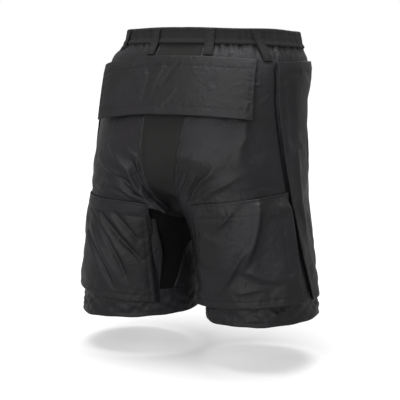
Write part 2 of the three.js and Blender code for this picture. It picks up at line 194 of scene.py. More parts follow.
# Folds of each piece and side, one row each: three points (u, v) that it runs through as shares of the piece, its
# half widths at both ends, its height (a valley is negative), and how much steeper its right flank is.
FOLDS = {
    ("seat", "left"): (
        ((0.01, 0.645), (0.15, 0.545), (0.27, 0.36), 7, 12, 8.5, 0.2),
        ((0.00, 0.58), (0.04, 0.49), (0.12, 0.38), 5, 9, 5.0, -0.2),
        ((0.01, 0.615), (0.09, 0.52), (0.18, 0.41), 4, 8, -4.5, 0.0),
        ((0.07, 0.635), (0.19, 0.565), (0.36, 0.47), 4, 7, -6.0, 0.0),
        ((0.12, 0.625), (0.25, 0.585), (0.42, 0.49), 7, 13, 6.0, 0.2),
        ((0.26, 0.51), (0.34, 0.48), (0.46, 0.42), 5, 9, 3.5, 0.0),
        ((0.30, 0.60), (0.42, 0.57), (0.54, 0.55), 5, 8, 2.5, 0.0),
    ),
    ("seat", "right"): (
        ((0.20, 0.615), (0.345, 0.525), (0.36, 0.43), 5, 8, 5.0, -0.2),
        ((0.16, 0.61), (0.30, 0.535), (0.345, 0.45), 3, 6, -4.0, 0.0),
        ((0.10, 0.60), (0.22, 0.53), (0.28, 0.42), 5, 8, 4.5, 0.0),
        ((0.02, 0.60), (0.10, 0.53), (0.16, 0.45), 4, 7, -3.0, 0.0),
        ((0.32, 0.60), (0.46, 0.535), (0.58, 0.46), 7, 13, 3.5, 0.0),
        ((0.41, 0.25), (0.42, 0.37), (0.60, 0.50), 9, 16, 4.0, -0.3),
        ((0.00, 0.43), (0.20, 0.43), (0.52, 0.47), 24, 26, 6.0, 0.0),
        ((0.05, 0.43), (0.075, 0.51), (0.05, 0.61), 5, 5, -4.0, 0.0),
        ((0.64, 0.53), (0.74, 0.55), (0.84, 0.57), 7, 10, -2.5, 0.0),
    ),
    ("thigh", "left"): (
        ((0.66, 0.12), (0.36, 0.48), (0.21, 0.94), 5, 6, -7.5, 0.0),
        ((0.54, 0.10), (0.29, 0.37), (0.08, 0.62), 5, 5, -7.0, 0.0),
        ((0.38, 0.10), (0.22, 0.26), (0.10, 0.42), 5, 4, -4.5, 0.0),
        ((0.72, 0.32), (0.46, 0.64), (0.33, 0.96), 5, 6, -7.0, 0.0),
        ((0.60, 0.14), (0.34, 0.43), (0.16, 0.82), 9, 11, 3.5, 0.0),
        ((0.46, 0.10), (0.26, 0.31), (0.09, 0.52), 8, 8, 3.0, 0.0),
        ((0.70, 0.22), (0.43, 0.55), (0.28, 0.93), 9, 10, 3.5, 0.0),
    ),
    ("thigh", "right"): (
        ((0.70, -0.04), (0.615, 0.36), (0.47, 0.70), 14, 12, 11.0, -0.25),
        ((0.56, 0.40), (0.43, 0.64), (0.28, 0.92), 10, 9, 5.5, -0.2),
        ((0.54, 0.62), (0.66, 0.72), (0.84, 0.80), 15, 13, 3.5, 0.2),
        ((0.46, 0.08), (0.37, 0.17), (0.22, 0.28), 8, 8, 3.5, -0.2),
        ((0.44, 0.86), (0.58, 0.83), (0.74, 0.82), 5, 6, 3.0, 0.0),
    ),
    ("hip", "left"): (
        ((0.05, 0.05), (0.09, 0.18), (0.08, 0.36), 4, 6, 2.0, 0.0),
        ((0.20, 0.40), (0.26, 0.60), (0.22, 0.84), 10, 12, 2.5, 0.0),
        ((0.45, 0.30), (0.40, 0.52), (0.46, 0.74), 11, 13, -2.0, 0.0),
    ),
    ("hip", "right"): (
        ((0.05, 0.05), (0.08, 0.18), (0.07, 0.36), 4, 6, 2.0, 0.0),
        ((0.13, 0.06), (0.16, 0.20), (0.14, 0.38), 5, 7, -2.0, 0.0),
        ((0.22, 0.34), (0.18, 0.56), (0.24, 0.82), 10, 13, 2.5, 0.0),
        ((0.44, 0.28), (0.48, 0.50), (0.42, 0.76), 11, 13, -2.0, 0.0),
    ),
    ("front", "left"): (
        ((0.97, 0.51), (0.78, 0.43), (0.56, 0.30), 6, 12, 5.0, 0.2),
        ((0.96, 0.53), (0.76, 0.51), (0.54, 0.44), 5, 10, 4.0, 0.0),
        ((0.94, 0.55), (0.76, 0.60), (0.58, 0.72), 6, 12, 4.0, 0.0),
        ((0.98, 0.46), (0.88, 0.36), (0.76, 0.22), 5, 10, -3.0, 0.0),
    ),
    ("front", "right"): (
        ((0.97, 0.52), (0.80, 0.45), (0.60, 0.34), 6, 12, 5.0, -0.2),
        ((0.96, 0.54), (0.74, 0.53), (0.52, 0.48), 5, 10, 4.0, 0.0),
        ((0.94, 0.56), (0.78, 0.64), (0.62, 0.78), 6, 12, 4.0, 0.0),
        ((0.98, 0.47), (0.90, 0.34), (0.74, 0.20), 5, 10, -3.0, 0.0),
    ),
    ("back", "both"): (
        ((0.690, 0.00), (0.655, 0.50), (0.700, 1.10), 9, 9, -1.6, 0.0),
        ((0.560, 0.10), (0.600, 0.45), (0.630, 0.75), 6, 6, 1.4, 0.0),
        ((0.460, 0.05), (0.520, 0.35), (0.570, 0.60), 5, 6, -1.2, 0.2),
        ((0.440, 0.55), (0.490, 0.72), (0.540, 0.90), 4, 5, 1.2, 0.0),
        ((0.500, 0.80), (0.560, 0.92), (0.660, 1.05), 6, 6, 1.4, 0.0),
        ((0.200, 0.30), (0.280, 0.55), (0.380, 0.70), 10, 10, -1.0, 0.0),
        ((0.850, 0.15), (0.830, 0.60), (0.860, 1.10), 8, 9, -1.2, 0.0),
    ),
}

# Seams: half width of the groove, the height of the puckers across it and how far they reach, and the waves that make
# them: share, length and shift from one line to the next
SEAM_WIDTH = 1.3
PUCKER_HEIGHT = 0.14
PUCKER_REACH = 5
PUCKERS = ((1, 1.9, 2), (1, 1.17, 1), (0.7, 3.1, 0))
# How far stitches are lifted off the cloth, and the step of the lines that they are laid along
STITCH_LIFT = 0.15
STITCH_STEP = 2

# Cloth simulation: its settings, grid step, how many frames it runs for, and how far a point may slide along the cloth
CLOTH_SETTINGS = {
    "quality": 6, "mass": 0.2, "air_damping": 2, "tension_stiffness": 25, "compression_stiffness": 25,
    "shear_stiffness": 8, "pin_stiffness": 1,
}
SETTLE_STEP = 6
SETTLE_FRAMES = 24
SETTLE_SLIDE = 2

SIDES = (("left", False), ("right", True))


def lerp(a, b, t):
    return a + (b - a) * t


def smoothstep(x, low, high):
    t = np.clip((x - low) / (high - low), 0, 1)
    return t * t * (3 - 2 * t)


def hill(x, middle, spread):
    return np.exp(-(((x - middle) / spread) ** 2))


def waves(angle, height, count, shift=0):
    """Sine waves round the waist or a leg: their height, how many go round, and the angle they are shifted by."""
    return height * np.sin(np.radians(count * angle + shift))


def section_at(z):
    """Columns of the section table at heights z, on smooth curves through its rows."""
    heights = -SECTIONS[:, 0]
    values = SECTIONS[:, 1:]
    secants = np.diff(values, axis=0) / np.diff(heights)[:, None]
    slopes = np.vstack([secants[:1], (secants[1:] + secants[:-1]) / 2, secants[-1:]])
    at = np.clip(-np.asarray(z, float), heights[0], heights[-1])
    row = np.clip(np.searchsorted(heights, at, side="right") - 1, 0, len(heights) - 2)
    width = (heights[row + 1] - heights[row])[..., None]
    t = (at - heights[row])[..., None] / width
    ends = (1 + 2 * t) * (1 - t) ** 2 * values[row] + t * t * (3 - 2 * t) * values[row + 1]
    bends = t * (1 - t) ** 2 * slopes[row] + t * t * (t - 1) * slopes[row + 1]
    return dict(zip(SECTION_COLUMNS[1:], np.moveaxis(ends + width * bends, -1, 0)))


def loop_point(z, angle):
    """Points on the left leg's loop. Above the crotch only its outer part is used."""
    section = section_at(z)
    cos = np.cos(np.radians(angle))
    sin = np.sin(np.radians(angle))
    reach_x = np.where(cos > 0, section["outer"], section["inner"])
    reach_y = np.where(sin > 0, section["back"], section["front"])
    share_x = np.abs(cos) ** (2 / section["square"])
    square = np.where((cos < 0) & (sin > 0), section["seat_square"], section["square"])
    share_y = np.maximum(0, 1 - share_x**square) ** (1 / square)
    x = section["leg_x"] + reach_x * np.sign(cos) * share_x
    y = section["mid_y"] + reach_y * np.sign(sin) * share_y
    level = 1 - BAND_LEVEL * smoothstep(z, BAND_BOTTOM, BAND_TOP)
    tilt = (WAIST_DROP + WAIST_TILT * sin) * level * smoothstep(z, -WAIST_TILT_FADE, 0)
    return np.stack([x, y, z + tilt], -1)


def unit(vectors):
    return vectors / np.linalg.norm(vectors, axis=-1, keepdims=True)


def off_loop(z, angle, off):
    """Points that stand off the left leg's loop."""
    step = 0.2
    along = loop_point(z, angle - step) - loop_point(z, angle + step)
    down = loop_point(z - step, angle) - loop_point(z + step, angle)
    return loop_point(z, angle) + unit(np.cross(along, down)) * np.asarray(off)[..., None]


def angle_at_x(z, x):
    """Angles where the loop is a given distance from the centre line."""
    section = section_at(z)
    from_leg = x - section["leg_x"]
    reach = np.where(from_leg > 0, section["outer"], section["inner"])
    share = np.minimum(1, np.abs(from_leg) / reach)
    from_side = np.degrees(np.arccos(share ** (section["square"] / 2)))
    return np.where(from_leg > 0, from_side, 180 - from_side)


def seat_edge_angle(z, side=None):
    """Angle of the gusset's seam at the back, evenly or as drawn to the wearer's left."""
    pull = GUSSET_PULL * smoothstep(z, *GUSSET_PULL_TOP) * smoothstep(z, *GUSSET_PULL_BOTTOM)
    pull = pull * {"left": 1, "right": -1, None: 0}[side]
    return angle_at_x(z, section_at(z)["seat_edge"] + pull)


def front_edge_angle(z):
    """Angle of the front panel's inner edge, which goes round the inside of the leg below the crotch."""
    below = np.clip((CROTCH - z) / (CROTCH - HEM_TOP), 0, 1)
    share = EARLY_WRAP * smoothstep(below, 0, EARLY_WRAP_END) + (1 - EARLY_WRAP) * below
    return lerp(-angle_at_x(z, section_at(z)["front_edge"]), FRONT_WRAP, share)


def gap_angle(z, gap=SEAM_GAP):
    return np.degrees(gap / 2 / section_at(z)["back"])


def panel_height(v, seam_share):
    beside = lerp(PANEL_TOP, SEAM_END, v / seam_share)
    below = lerp(SEAM_END, HEM_TOP + SEAM_GAP, (v - seam_share) / (1 - seam_share))
    return np.where(v < seam_share, beside, below)


def crotch_edge(share):
    return lerp(CROTCH, SEAM_END, np.abs(2 * share - 1) ** 3)


def inside_angle(z, share):
    front = 360 + front_edge_angle(z) - gap_angle(z, FRONT_SEAM_GAP)
    return lerp(seat_edge_angle(z) + gap_angle(z), front, share)


def hip_back_angle(z):
    """Angle of the hip pocket's back edge."""
    share = np.clip((HIP_POCKET["top"] - z) / (HIP_POCKET["top"] - HIP_POCKET["bottom"]), 0, 1)
    return lerp(*HIP_POCKET["back"], share) - HIP_POCKET["cut"] * share ** 6


def stand_off(off, v):
    top, middle, bottom = off
    return lerp(top, bottom, v) + (middle - (top + bottom) / 2) * np.sin(np.pi * v)


def sewn_edge(u, reach):
    return smoothstep(u, 0, reach) * smoothstep(1 - u, 0, reach)


def edge_hold(u, v, side_reach, end_reach):
    """How firmly a piece is held by its sewn edges, which fades over shares of its width and height."""
    sides = 1 - smoothstep(np.minimum(u, 1 - u), 0, side_reach)
    ends = 1 - smoothstep(np.minimum(v, 1 - v), 0, end_reach)
    return np.maximum(sides, ends)


def gather_height(z, angle):
    """Height of the gathers below the waistband, which are flat at the middles and under the loops."""
    x = loop_point(z, angle)[..., 0]
    swing = np.pi * angle / GATHER_TURN + waves(angle, *GATHER_SHIFT)
    height = GATHER_HEIGHT * (GATHER_FULL * np.abs(np.sin(swing)) ** GATHER_SHARP - 1)
    height = height * (1 + waves(angle, *GATHER_UNEVEN))
    height = height + waves(angle, *SMALL_GATHERS, waves(angle, *SMALL_GATHER_SHIFT))
    height = height * smoothstep(x, GATHER_FLAT_X, GATHER_FLAT_X + GATHER_FLAT_FADE)
    for loop in BELT_LOOPS.values():
        beside = angle - loop["angle"] - loop["lean"] / 2
        height = height * (1 - hill(beside, 0, GATHER_LOOP_REACH))
    return height * np.exp(np.minimum(0, z - BAND_BOTTOM) / GATHER_REACH)


def waist_fullness(z, angle, side):
    height, middle = WAIST_FULLNESS[side]
    return height * smoothstep(z, *WAIST_FULLNESS["bottom"]) * hill(angle, middle, WAIST_FULLNESS["spread"])


def fullness(z, angle, side):
    """How far the cloth stands off the even form: at the waist, and on the left over the hip and inside the leg."""
    waist = waist_fullness(z, angle, side)
    if side == "right":
        return waist
    hip = HIP_FULLNESS["height"] * smoothstep(z, *HIP_FULLNESS["top"]) * smoothstep(z, *HIP_FULLNESS["bottom"])
    hip = hip * hill(angle, HIP_FULLNESS["middle"], HIP_FULLNESS["spread"])
    beside = np.mod(angle - (LEG_FULLNESS["middle"] - 180), 360) - 180
    leg = LEG_FULLNESS["height"] * smoothstep(z, *LEG_FULLNESS["top"]) * hill(beside, 0, LEG_FULLNESS["spread"])
    return waist + hip + leg


def crotch_drag(z, u):
    """How far the left seat panel is drawn over the gusset near the crotch."""
    sideways, upwards = (np.interp(-z, -CROTCH_DRAG[:, 0], CROTCH_DRAG[:, i]) for i in (1, 2))
    backwards = DRAG_BACKWARDS * np.clip(-sideways / DRAG_FULL, 0, 1)
    return np.stack([sideways, backwards, upwards], -1) * (1 - smoothstep(u, 0, DRAG_REACH))[..., None]


def hang(points, mirrored):
    """Where points of the even form come to lie: the left leg hangs lower than the right one, the crotch sags."""
    placed = points.copy()
    if mirrored:
        placed[..., 0] *= -1
    x, z = placed[..., 0], points[..., 2]
    sag = CROTCH_SAG * (smoothstep(z, *SAG_BOTTOM) * smoothstep(z, *SAG_TOP)) * hill(x, 0, SAG_REACH)
    placed[..., 2] = z - HANG_SLOPE * np.clip(z / HEM_BOTTOM, 0, 1) * x - sag
    return placed


def path_distance(piece, u, v, path):
    """Signed distance from a path of (u, v) points in millimetres, and the share of the way along it."""
    width, height = PIECE_SIZE[piece]
    points = np.array(path) * (width, height)
    at = np.stack([u * width, v * height], -1)
    nearest = np.full(u.shape, np.inf)
    signed = np.zeros(u.shape)
    share = np.zeros(u.shape)
    count = len(points) - 1
    for i in range(count):
        along = points[i + 1] - points[i]
        from_start = at - points[i]
        t = np.clip(from_start @ along / (along @ along), 0, 1)
        apart = np.linalg.norm(from_start - t[..., None] * along, axis=-1)
        side = np.sign(along[0] * from_start[..., 1] - along[1] * from_start[..., 0])
        closer = apart < nearest
        nearest = np.where(closer, apart, nearest)
        signed = np.where(closer, apart * side, signed)
        share = np.where(closer, (i + t) / count, share)
    return signed, share


def step_lengths(piece, path):
    return np.linalg.norm(np.diff(np.array(path) * PIECE_SIZE[piece], axis=0), axis=1)


def fold_height(piece, side, u, v):
    """Sum of a piece's folds: ridges between shallow valleys that taper to their ends."""
    total = np.zeros(u.shape)
    t = np.linspace(0, 1, FOLD_POINTS)[:, None]
    for *points, width_from, width_to, height, skew in FOLDS[piece, side]:
        start, via, end = np.array(points)
        control = 2 * via - (start + end) / 2
        path = (1 - t) ** 2 * start + 2 * t * (1 - t) * control + t * t * end
        distance, share = path_distance(piece, u, v, path)
        d = distance / lerp(width_from, width_to, share) * (1 + skew * np.sign(distance))
        taper = smoothstep(share, *FOLD_START) * (1 - smoothstep(share, *FOLD_END))
        d = np.sqrt(d * d + FOLD_CREST**2) - FOLD_CREST
        total += height * taper * (1 - FOLD_VALLEY * d) * np.exp(-FOLD_DECAY * d)
    return total


def seam_relief(piece, u, v, lines, depth=0.7):
    """Grooves where a piece is stitched, with small puckers across them."""
    total = np.zeros(u.shape)
    for i, path in enumerate(lines):
        distance, share = path_distance(piece, u, v, path)
        run = share * step_lengths(piece, path).sum()
        pucker = sum(part * np.sin(run / length + shift * i) for part, length, shift in PUCKERS)
        total -= depth * hill(distance, 0, SEAM_WIDTH)
        total += PUCKER_HEIGHT * pucker * hill(distance, 0, PUCKER_REACH)
    return total


def ring_lines(rows):
    """Stitch lines round a closed band, at shares of its height."""
    return [[(u, v) for u in (0, 0.25, 0.5, 0.75, 1)] for v in rows]


def frame_lines(piece, margins):
    """Stitch lines along the edges of a piece: margins from its left, right, top and bottom edge, in mm."""
    width, height = PIECE_SIZE[piece]
    left, right, top, bottom = margins
    u0, u1 = (left or 0) / width, 1 - (right or 0) / width
    v0, v1 = (top or 0) / height, 1 - (bottom or 0) / height
    lines = []
    if left:
        lines.append([(u0, v0), (u0, v1)])
    if right:
        lines.append([(u1, v0), (u1, v1)])
    if top:
        lines.append([(u0, v0), (u1, v0)])
    if bottom:
        lines.append([(u0, v1), (u1, v1)])
    return lines


def grid_shares(columns, rows):
    v, u = np.meshgrid(np.linspace(0, 1, rows + 1), np.linspace(0, 1, columns + 1), indexing="ij")
    return u, v


def grid_normals(points, ring):
    """Outward normals of a grid whose u runs to the left as seen from outside, and v downwards."""
    along_u = np.gradient(points, axis=1)
    if ring:
        along_u[:, 0] = along_u[:, -1] = points[:, 1] - points[:, -2]
    return unit(np.cross(along_u, np.gradient(points, axis=0)))


def refine(field, count, axis):
    """Smooth resampling of a regular field along one axis."""
    field = np.moveaxis(field, axis, 0)
    last = len(field) - 1
    at = np.linspace(0, last, count)
    i = np.minimum(at.astype(int), last - 1)
    t = (at - i).reshape(-1, *[1] * (field.ndim - 1))
    weights = ((1 - t) ** 3, 3 * t**3 - 6 * t**2 + 4, -3 * t**3 + 3 * t**2 + 3 * t + 1, t**3)
    parts = [w / 6 * field[np.clip(i + k - 1, 0, last)] for k, w in enumerate(weights)]
    return np.moveaxis(sum(parts), 0, axis)


def settle(points, held, spare, stiffness, reach):
    """Lets a sheet with some spare cloth buckle between the places where it is held, by cloth simulation.

    Returns how far each point moves, in millimetres and within the given reach inwards and outwards."""
    rows, columns = points.shape[:2]
    index = np.arange(rows * columns).reshape(rows, columns)
    quads = np.stack([index[:-1, :-1], index[:-1, 1:], index[1:, 1:], index[1:, :-1]], -1).reshape(-1, 4)
    mesh = bpy.data.meshes.new("settling")
    mesh.from_pydata((points.reshape(-1, 3) * MM).tolist(), [], quads.tolist())
    cloth_object = bpy.data.objects.new("settling", mesh)
    bpy.context.collection.objects.link(cloth_object)
    pins = cloth_object.vertex_groups.new(name="held")
    for i, weight in enumerate(held.reshape(-1).tolist()):
        if weight > 0:
            pins.add([i], weight, "REPLACE")

    modifier = cloth_object.modifiers.new("Cloth", "CLOTH")
    cloth = modifier.settings
    for setting, value in CLOTH_SETTINGS.items():
        setattr(cloth, setting, value)
    cloth.bending_stiffness = stiffness
    cloth.vertex_group_mass = pins.name
    cloth.shrink_min = -spare
    cloth.effector_weights.gravity = 0
    modifier.collision_settings.use_collision = False
    modifier.point_cache.frame_end = SETTLE_FRAMES
    for step in range(1, SETTLE_FRAMES + 1):
        bpy.context.scene.frame_set(step)
    settled = cloth_object.evaluated_get(bpy.context.evaluated_depsgraph_get()).to_mesh()
    found = np.empty(rows * columns * 3)
    settled.vertices.foreach_get("co", found)
    bpy.context.scene.frame_set(1)
    bpy.data.objects.remove(cloth_object)
    bpy.data.meshes.remove(mesh)

    move = found.reshape(rows, columns, 3) / MM - points
    normals = grid_normals(points, ring=False)
    out = (move * normals).sum(-1, keepdims=True)
    along = move - out * normals
    inwards, outwards = reach
    out = np.where(out > 0, outwards * np.tanh(out / outwards), inwards * np.tanh(out / inwards))
    along /= np.maximum(1, np.linalg.norm(along, axis=-1, keepdims=True) / SETTLE_SLIDE)
    return (out * normals + along) * (1 - held[..., None])


def arc_lengths(points, axis):
    steps = np.linalg.norm(np.diff(points, axis=axis), axis=-1)
    start = np.zeros_like(np.take(steps, [0], axis=axis))
    return np.concatenate([start, np.cumsum(steps, axis=axis)], axis=axis)


def sheet_object(name, points, normals, thickness, ring, mirrored, material):
    """Mesh of a sheet from its outer face, with its inner face, rounded edges and a UV map in metres."""
    rows, columns = points.shape[0] - 1, points.shape[1] - 1
    across = columns if ring else columns + 1
    inner = points - normals * thickness
    middle = (points + inner) / 2
    out_u = unit(np.gradient(points, axis=1)) * thickness / 2
    out_v = unit(np.gradient(points, axis=0)) * thickness / 2
    index = np.arange((rows + 1) * across).reshape(rows + 1, across)
    if ring:
        index = np.concatenate([index, index[:, :1]], axis=1)
    behind = index.max() + 1

    sides = {
        "top": [(0, i) for i in range(columns + 1)],
        "right": [(j, columns) for j in range(rows + 1)],
        "bottom": [(rows, i) for i in range(columns, -1, -1)],
        "left": [(j, 0) for j in range(rows, -1, -1)],
    }
    if ring:
        borders = [sides["top"], sides["bottom"]]
    else:
        borders = [sides["top"] + sides["right"][1:] + sides["bottom"][1:] + sides["left"][1:]]

    vertices = [points[:, :across].reshape(-1, 3), inner[:, :across].reshape(-1, 3)]
    lengths_u = arc_lengths(points, 1)
    lengths_u = lengths_u - lengths_u[:, columns // 2][:, None]
    lengths_v = np.broadcast_to(arc_lengths(points, 0).mean(axis=1)[:, None], lengths_u.shape)
    uv_grid = np.stack([lengths_u, -lengths_v], -1) * MM

    a, b, c, d = (
        (slice(None, -1), slice(None, -1)), (slice(None, -1), slice(1, None)),
        (slice(1, None), slice(1, None)), (slice(1, None), slice(None, -1)),
    )
    front = np.stack([index[a], index[b], index[c], index[d]], -1).reshape(-1, 4)
    front_uv = np.stack([uv_grid[a], uv_grid[b], uv_grid[c], uv_grid[d]], -2).reshape(-1, 4, 2)
    faces = [front, front[:, ::-1] + behind]
    uvs = [front_uv, front_uv[:, ::-1]]
    start = 2 * behind
    for border in borders:
        j, i = np.array(border).T
        beyond = np.zeros((len(border), 3))
        beyond += np.where(j == 0, -1, np.where(j == rows, 1, 0))[:, None] * out_v[j, i]
        if not ring:
            beyond += np.where(i == 0, -1, np.where(i == columns, 1, 0))[:, None] * out_u[j, i]
        rim_count = len(border) - 1
        vertices.append((middle[j, i] + beyond)[:rim_count])
        rim = start + np.arange(rim_count + 1) % rim_count
        start += rim_count
        outer = index[j, i]
        edge_uv = uv_grid[j, i]
        quad_uv = np.stack([edge_uv[1:], edge_uv[:-1], edge_uv[:-1], edge_uv[1:]], 1)
        faces.append(np.stack([outer[1:], outer[:-1], rim[:-1], rim[1:]], -1))
        faces.append(np.stack([rim[1:], rim[:-1], outer[:-1] + behind, outer[1:] + behind], -1))
        uvs += [quad_uv, quad_uv]

    vertices = hang(np.concatenate(vertices), mirrored) * MM
    faces = np.concatenate(faces)
    uvs = np.concatenate(uvs)
    if mirrored:
        faces = faces[:, ::-1]
        uvs = uvs[:, ::-1]
    mesh = bpy.data.meshes.new(name)
    mesh.from_pydata(vertices.tolist(), [], faces.tolist())
    layer = mesh.uv_layers.new(name="UVMap")
    layer.uv.foreach_set("vector", uvs.reshape(-1))
    mesh.shade_smooth()
    mesh.materials.append(material)
    piece = bpy.data.objects.new(name, mesh)
    bpy.context.collection.objects.link(piece)
    return piece


# Stitch lines of the finished pieces: points and normals in the row frame, in metres
stitch_lines = []


def add_stitches(piece, points, normals, lines, mirrored):
    """Keeps the stitch lines of a piece, lifted a little off its outer face."""
    rows, columns = points.shape[0] - 1, points.shape[1] - 1
    for path in lines:
        knots = np.concatenate([[0], np.cumsum(step_lengths(piece, path))])
        at = np.linspace(0, knots[-1], max(3, int(knots[-1] / STITCH_STEP)))
        path_u, path_v = np.array(path).T
        u = np.clip(np.interp(at, knots, path_u), 0, 1) * columns
        v = np.clip(np.interp(at, knots, path_v), 0, 1) * rows
        i = np.minimum(u.astype(int), columns - 1)
        j = np.minimum(v.astype(int), rows - 1)
        s, t = (u - i)[:, None], (v - j)[:, None]

        def blend(field):
            upper = lerp(field[j, i], field[j, i + 1], s)
            return lerp(upper, lerp(field[j + 1, i], field[j + 1, i + 1], s), t)

        normal = blend(normals)
        placed = hang(blend(points) + normal * STITCH_LIFT, mirrored) * MM
        if mirrored:
            normal = normal * (-1, 1, 1)
        stitch_lines.append((placed, normal))


def make_cloth(name, node, surface, thickness, finish, piece, *, lines=(), ring=False, mirrored=False, settled=None):
    """Builds a sheet on a surface(u, v), with what cloth simulation moved, and its stitch lines."""
    columns, rows = (round(size / MESH_STEP[piece]) for size in PIECE_SIZE[piece])
    points = surface(*grid_shares(columns, rows))
    if settled is not None:
        points = points + refine(refine(settled, rows + 1, 0), columns + 1, 1)
    normals = grid_normals(points, ring)
    built = sheet_object(name, points, normals, thickness, ring, mirrored, cloth_material(finish))
    add_stitches(piece, points, normals, lines, mirrored)
    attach(built, "root")
    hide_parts(node)
    return built


def settled_moves(surface, piece, held, spare, stiffness, reach, step=SETTLE_STEP):
    width, height = PIECE_SIZE[piece]
    u, v = grid_shares(round(width / step), round(height / step))
    return settle(surface(u, v), held(u, v), spare, stiffness, reach)


def new_group(name, inputs, outputs=("Height",)):
    """Shader node group with a Vector input, named inputs whose defaults give their kinds, and named outputs."""
    tree = bpy.data.node_groups.new(name, "ShaderNodeTree")
    tree.interface.new_socket(name="Vector", in_out="INPUT", socket_type="NodeSocketVector")
    for socket_name, default in inputs.items():
        kind = "NodeSocketFloat" if isinstance(default, float) else "NodeSocketColor"
        tree.interface.new_socket(name=socket_name, in_out="INPUT", socket_type=kind).default_value = default
    for socket_name in outputs:
        kind = "NodeSocketColor" if socket_name == "Color" else "NodeSocketFloat"
        tree.interface.new_socket(name=socket_name, in_out="OUTPUT", socket_type=kind)
    return tree, tree.nodes.new("NodeGroupInput"), tree.nodes.new("NodeGroupOutput")


def math_node(tree, operation, *values):
    """Math node whose inputs are numbers or other nodes' outputs."""
    node = tree.nodes.new("ShaderNodeMath")
    node.operation = operation
    for socket, value in zip(node.inputs, values):
        if isinstance(value, bpy.types.NodeSocket):
            tree.links.new(value, socket)
        else:
            socket.default_value = value
    return node.outputs[0]


def mix_colours(tree, factor, colours):
    """Mix of two colours, each a value or another node's output."""
    mix = tree.nodes.new("ShaderNodeMix")
    mix.data_type = "RGBA"
    tree.links.new(factor, mix.inputs["Factor"])
    for socket, colour in zip((mix.inputs[6], mix.inputs[7]), colours):
        if isinstance(colour, bpy.types.NodeSocket):
            tree.links.new(colour, socket)
        else:
            socket.default_value = (*colour, 1)
    return mix.outputs[2]


def noise_node(tree, ins, **values):
    """Noise on a group's Vector and Scale inputs."""
    noise = tree.nodes.new("ShaderNodeTexNoise")
    for name, value in values.items():
        noise.inputs[name].default_value = value
    for name in ("Vector", "Scale"):
        tree.links.new(ins.outputs[name], noise.inputs[name])
    return noise


def texture_group(name, count_name, count, height):
    """Fine texture: a height from the places across and along the cloth, in threads, stitches or ribs."""
    tree, ins, outs = new_group(name, {count_name: count})
    scaled = tree.nodes.new("ShaderNodeVectorMath")
    scaled.operation = "SCALE"
    tree.links.new(ins.outputs["Vector"], scaled.inputs[0])
    tree.links.new(ins.outputs[count_name], scaled.inputs["Scale"])
    split = tree.nodes.new("ShaderNodeSeparateXYZ")
    tree.links.new(scaled.outputs[0], split.inputs[0])

    def math(operation, *values):
        return math_node(tree, operation, *values)

    tree.links.new(height(math, split.outputs[0], split.outputs[1]), outs.inputs["Height"])
    return tree


def weave_group():
    """Plain weave: threads over and under each other."""
    def height(math, x, y):
        warp = math("SINE", math("MULTIPLY", x, np.pi))
        weft = math("SINE", math("MULTIPLY", y, np.pi))
        return math("MULTIPLY", warp, weft)

    return texture_group("Plain weave", "Threads per metre", 1500.0, height)


def knit_group():
    """Knit: columns of slanted stitches."""
    slope, stitch_share = 1.4, 0.5

    def height(math, x, y):
        across = math("ABSOLUTE", math("SUBTRACT", math("FRACT", x), 0.5))
        slant = math("ADD", y, math("MULTIPLY", across, slope))
        stitch = math("SINE", math("MULTIPLY", slant, 2 * np.pi))
        column = math("COSINE", math("MULTIPLY", across, 4 * np.pi))
        return math("ADD", math("MULTIPLY", stitch, stitch_share), column)

    return texture_group("Knit rows", "Stitches per metre", 700.0, height)


def rib_group():
    """Elastic: fine cords along the tape, crossed by threads."""
    thread_share = 0.4

    def height(math, x, y):
        cords = math("SINE", math("MULTIPLY", y, 2 * np.pi))
        threads = math("SINE", math("MULTIPLY", x, 2 * np.pi))
        return math("ADD", math("ABSOLUTE", cords), math("MULTIPLY", threads, thread_share))

    return texture_group("Elastic ribs", "Ribs per metre", 600.0, height)


def tone_group():
    """Uneven dye and handling: soft patches of a lighter tone, and a value that varies with them."""
    tree, ins, outs = new_group(
        "Cloth tone", {"Color": (0.03, 0.03, 0.03, 1), "Worn Color": (0.05, 0.05, 0.05, 1), "Scale": 9.0},
        ("Color", "Value"),
    )
    patches = noise_node(tree, ins, Detail=5, Roughness=0.6)
    spread = tree.nodes.new("ShaderNodeMapRange")
    spread.inputs["From Min"].default_value = 0.3
    spread.inputs["From Max"].default_value = 0.7
    tree.links.new(patches.outputs[0], spread.inputs["Value"])
    tones = (ins.outputs["Color"], ins.outputs["Worn Color"])
    tree.links.new(mix_colours(tree, spread.outputs[0], tones), outs.inputs["Color"])
    tree.links.new(spread.outputs[0], outs.inputs["Value"])
    return tree


def shade_group():
    """Mask that rises along a strip of cloth, askew across it, for painted shade along the strip."""
    tree, ins, outs = new_group("Strip shade", {"Start": 0.0, "End": 1.0, "Slant": 0.0}, ("Mask",))
    split = tree.nodes.new("ShaderNodeSeparateXYZ")
    tree.links.new(ins.outputs["Vector"], split.inputs[0])
    askew = math_node(tree, "MULTIPLY", split.outputs[0], ins.outputs["Slant"])
    ramp = tree.nodes.new("ShaderNodeMapRange")
    ramp.interpolation_type = "SMOOTHSTEP"
    tree.links.new(math_node(tree, "SUBTRACT", askew, split.outputs[1]), ramp.inputs["Value"])
    tree.links.new(ins.outputs["Start"], ramp.inputs["From Min"])
    tree.links.new(ins.outputs["End"], ramp.inputs["From Max"])
    tree.links.new(ramp.outputs[0], outs.inputs["Mask"])
    return tree


def crumple_group():
    """Small creases of handled cloth."""
    tree, ins, outs = new_group("Crumple", {"Scale": 60.0})
    noise = noise_node(tree, ins, Detail=3, Roughness=0.45, Distortion=0.6)
    noise.noise_type = "RIDGED_MULTIFRACTAL"
    tree.links.new(noise.outputs[0], outs.inputs["Height"])
    return tree


shared_groups = {}


def shared_group(build):
    """A node group, built once."""
    name = build.__name__
    if name not in shared_groups:
        shared_groups[name] = build()
    return shared_groups[name]
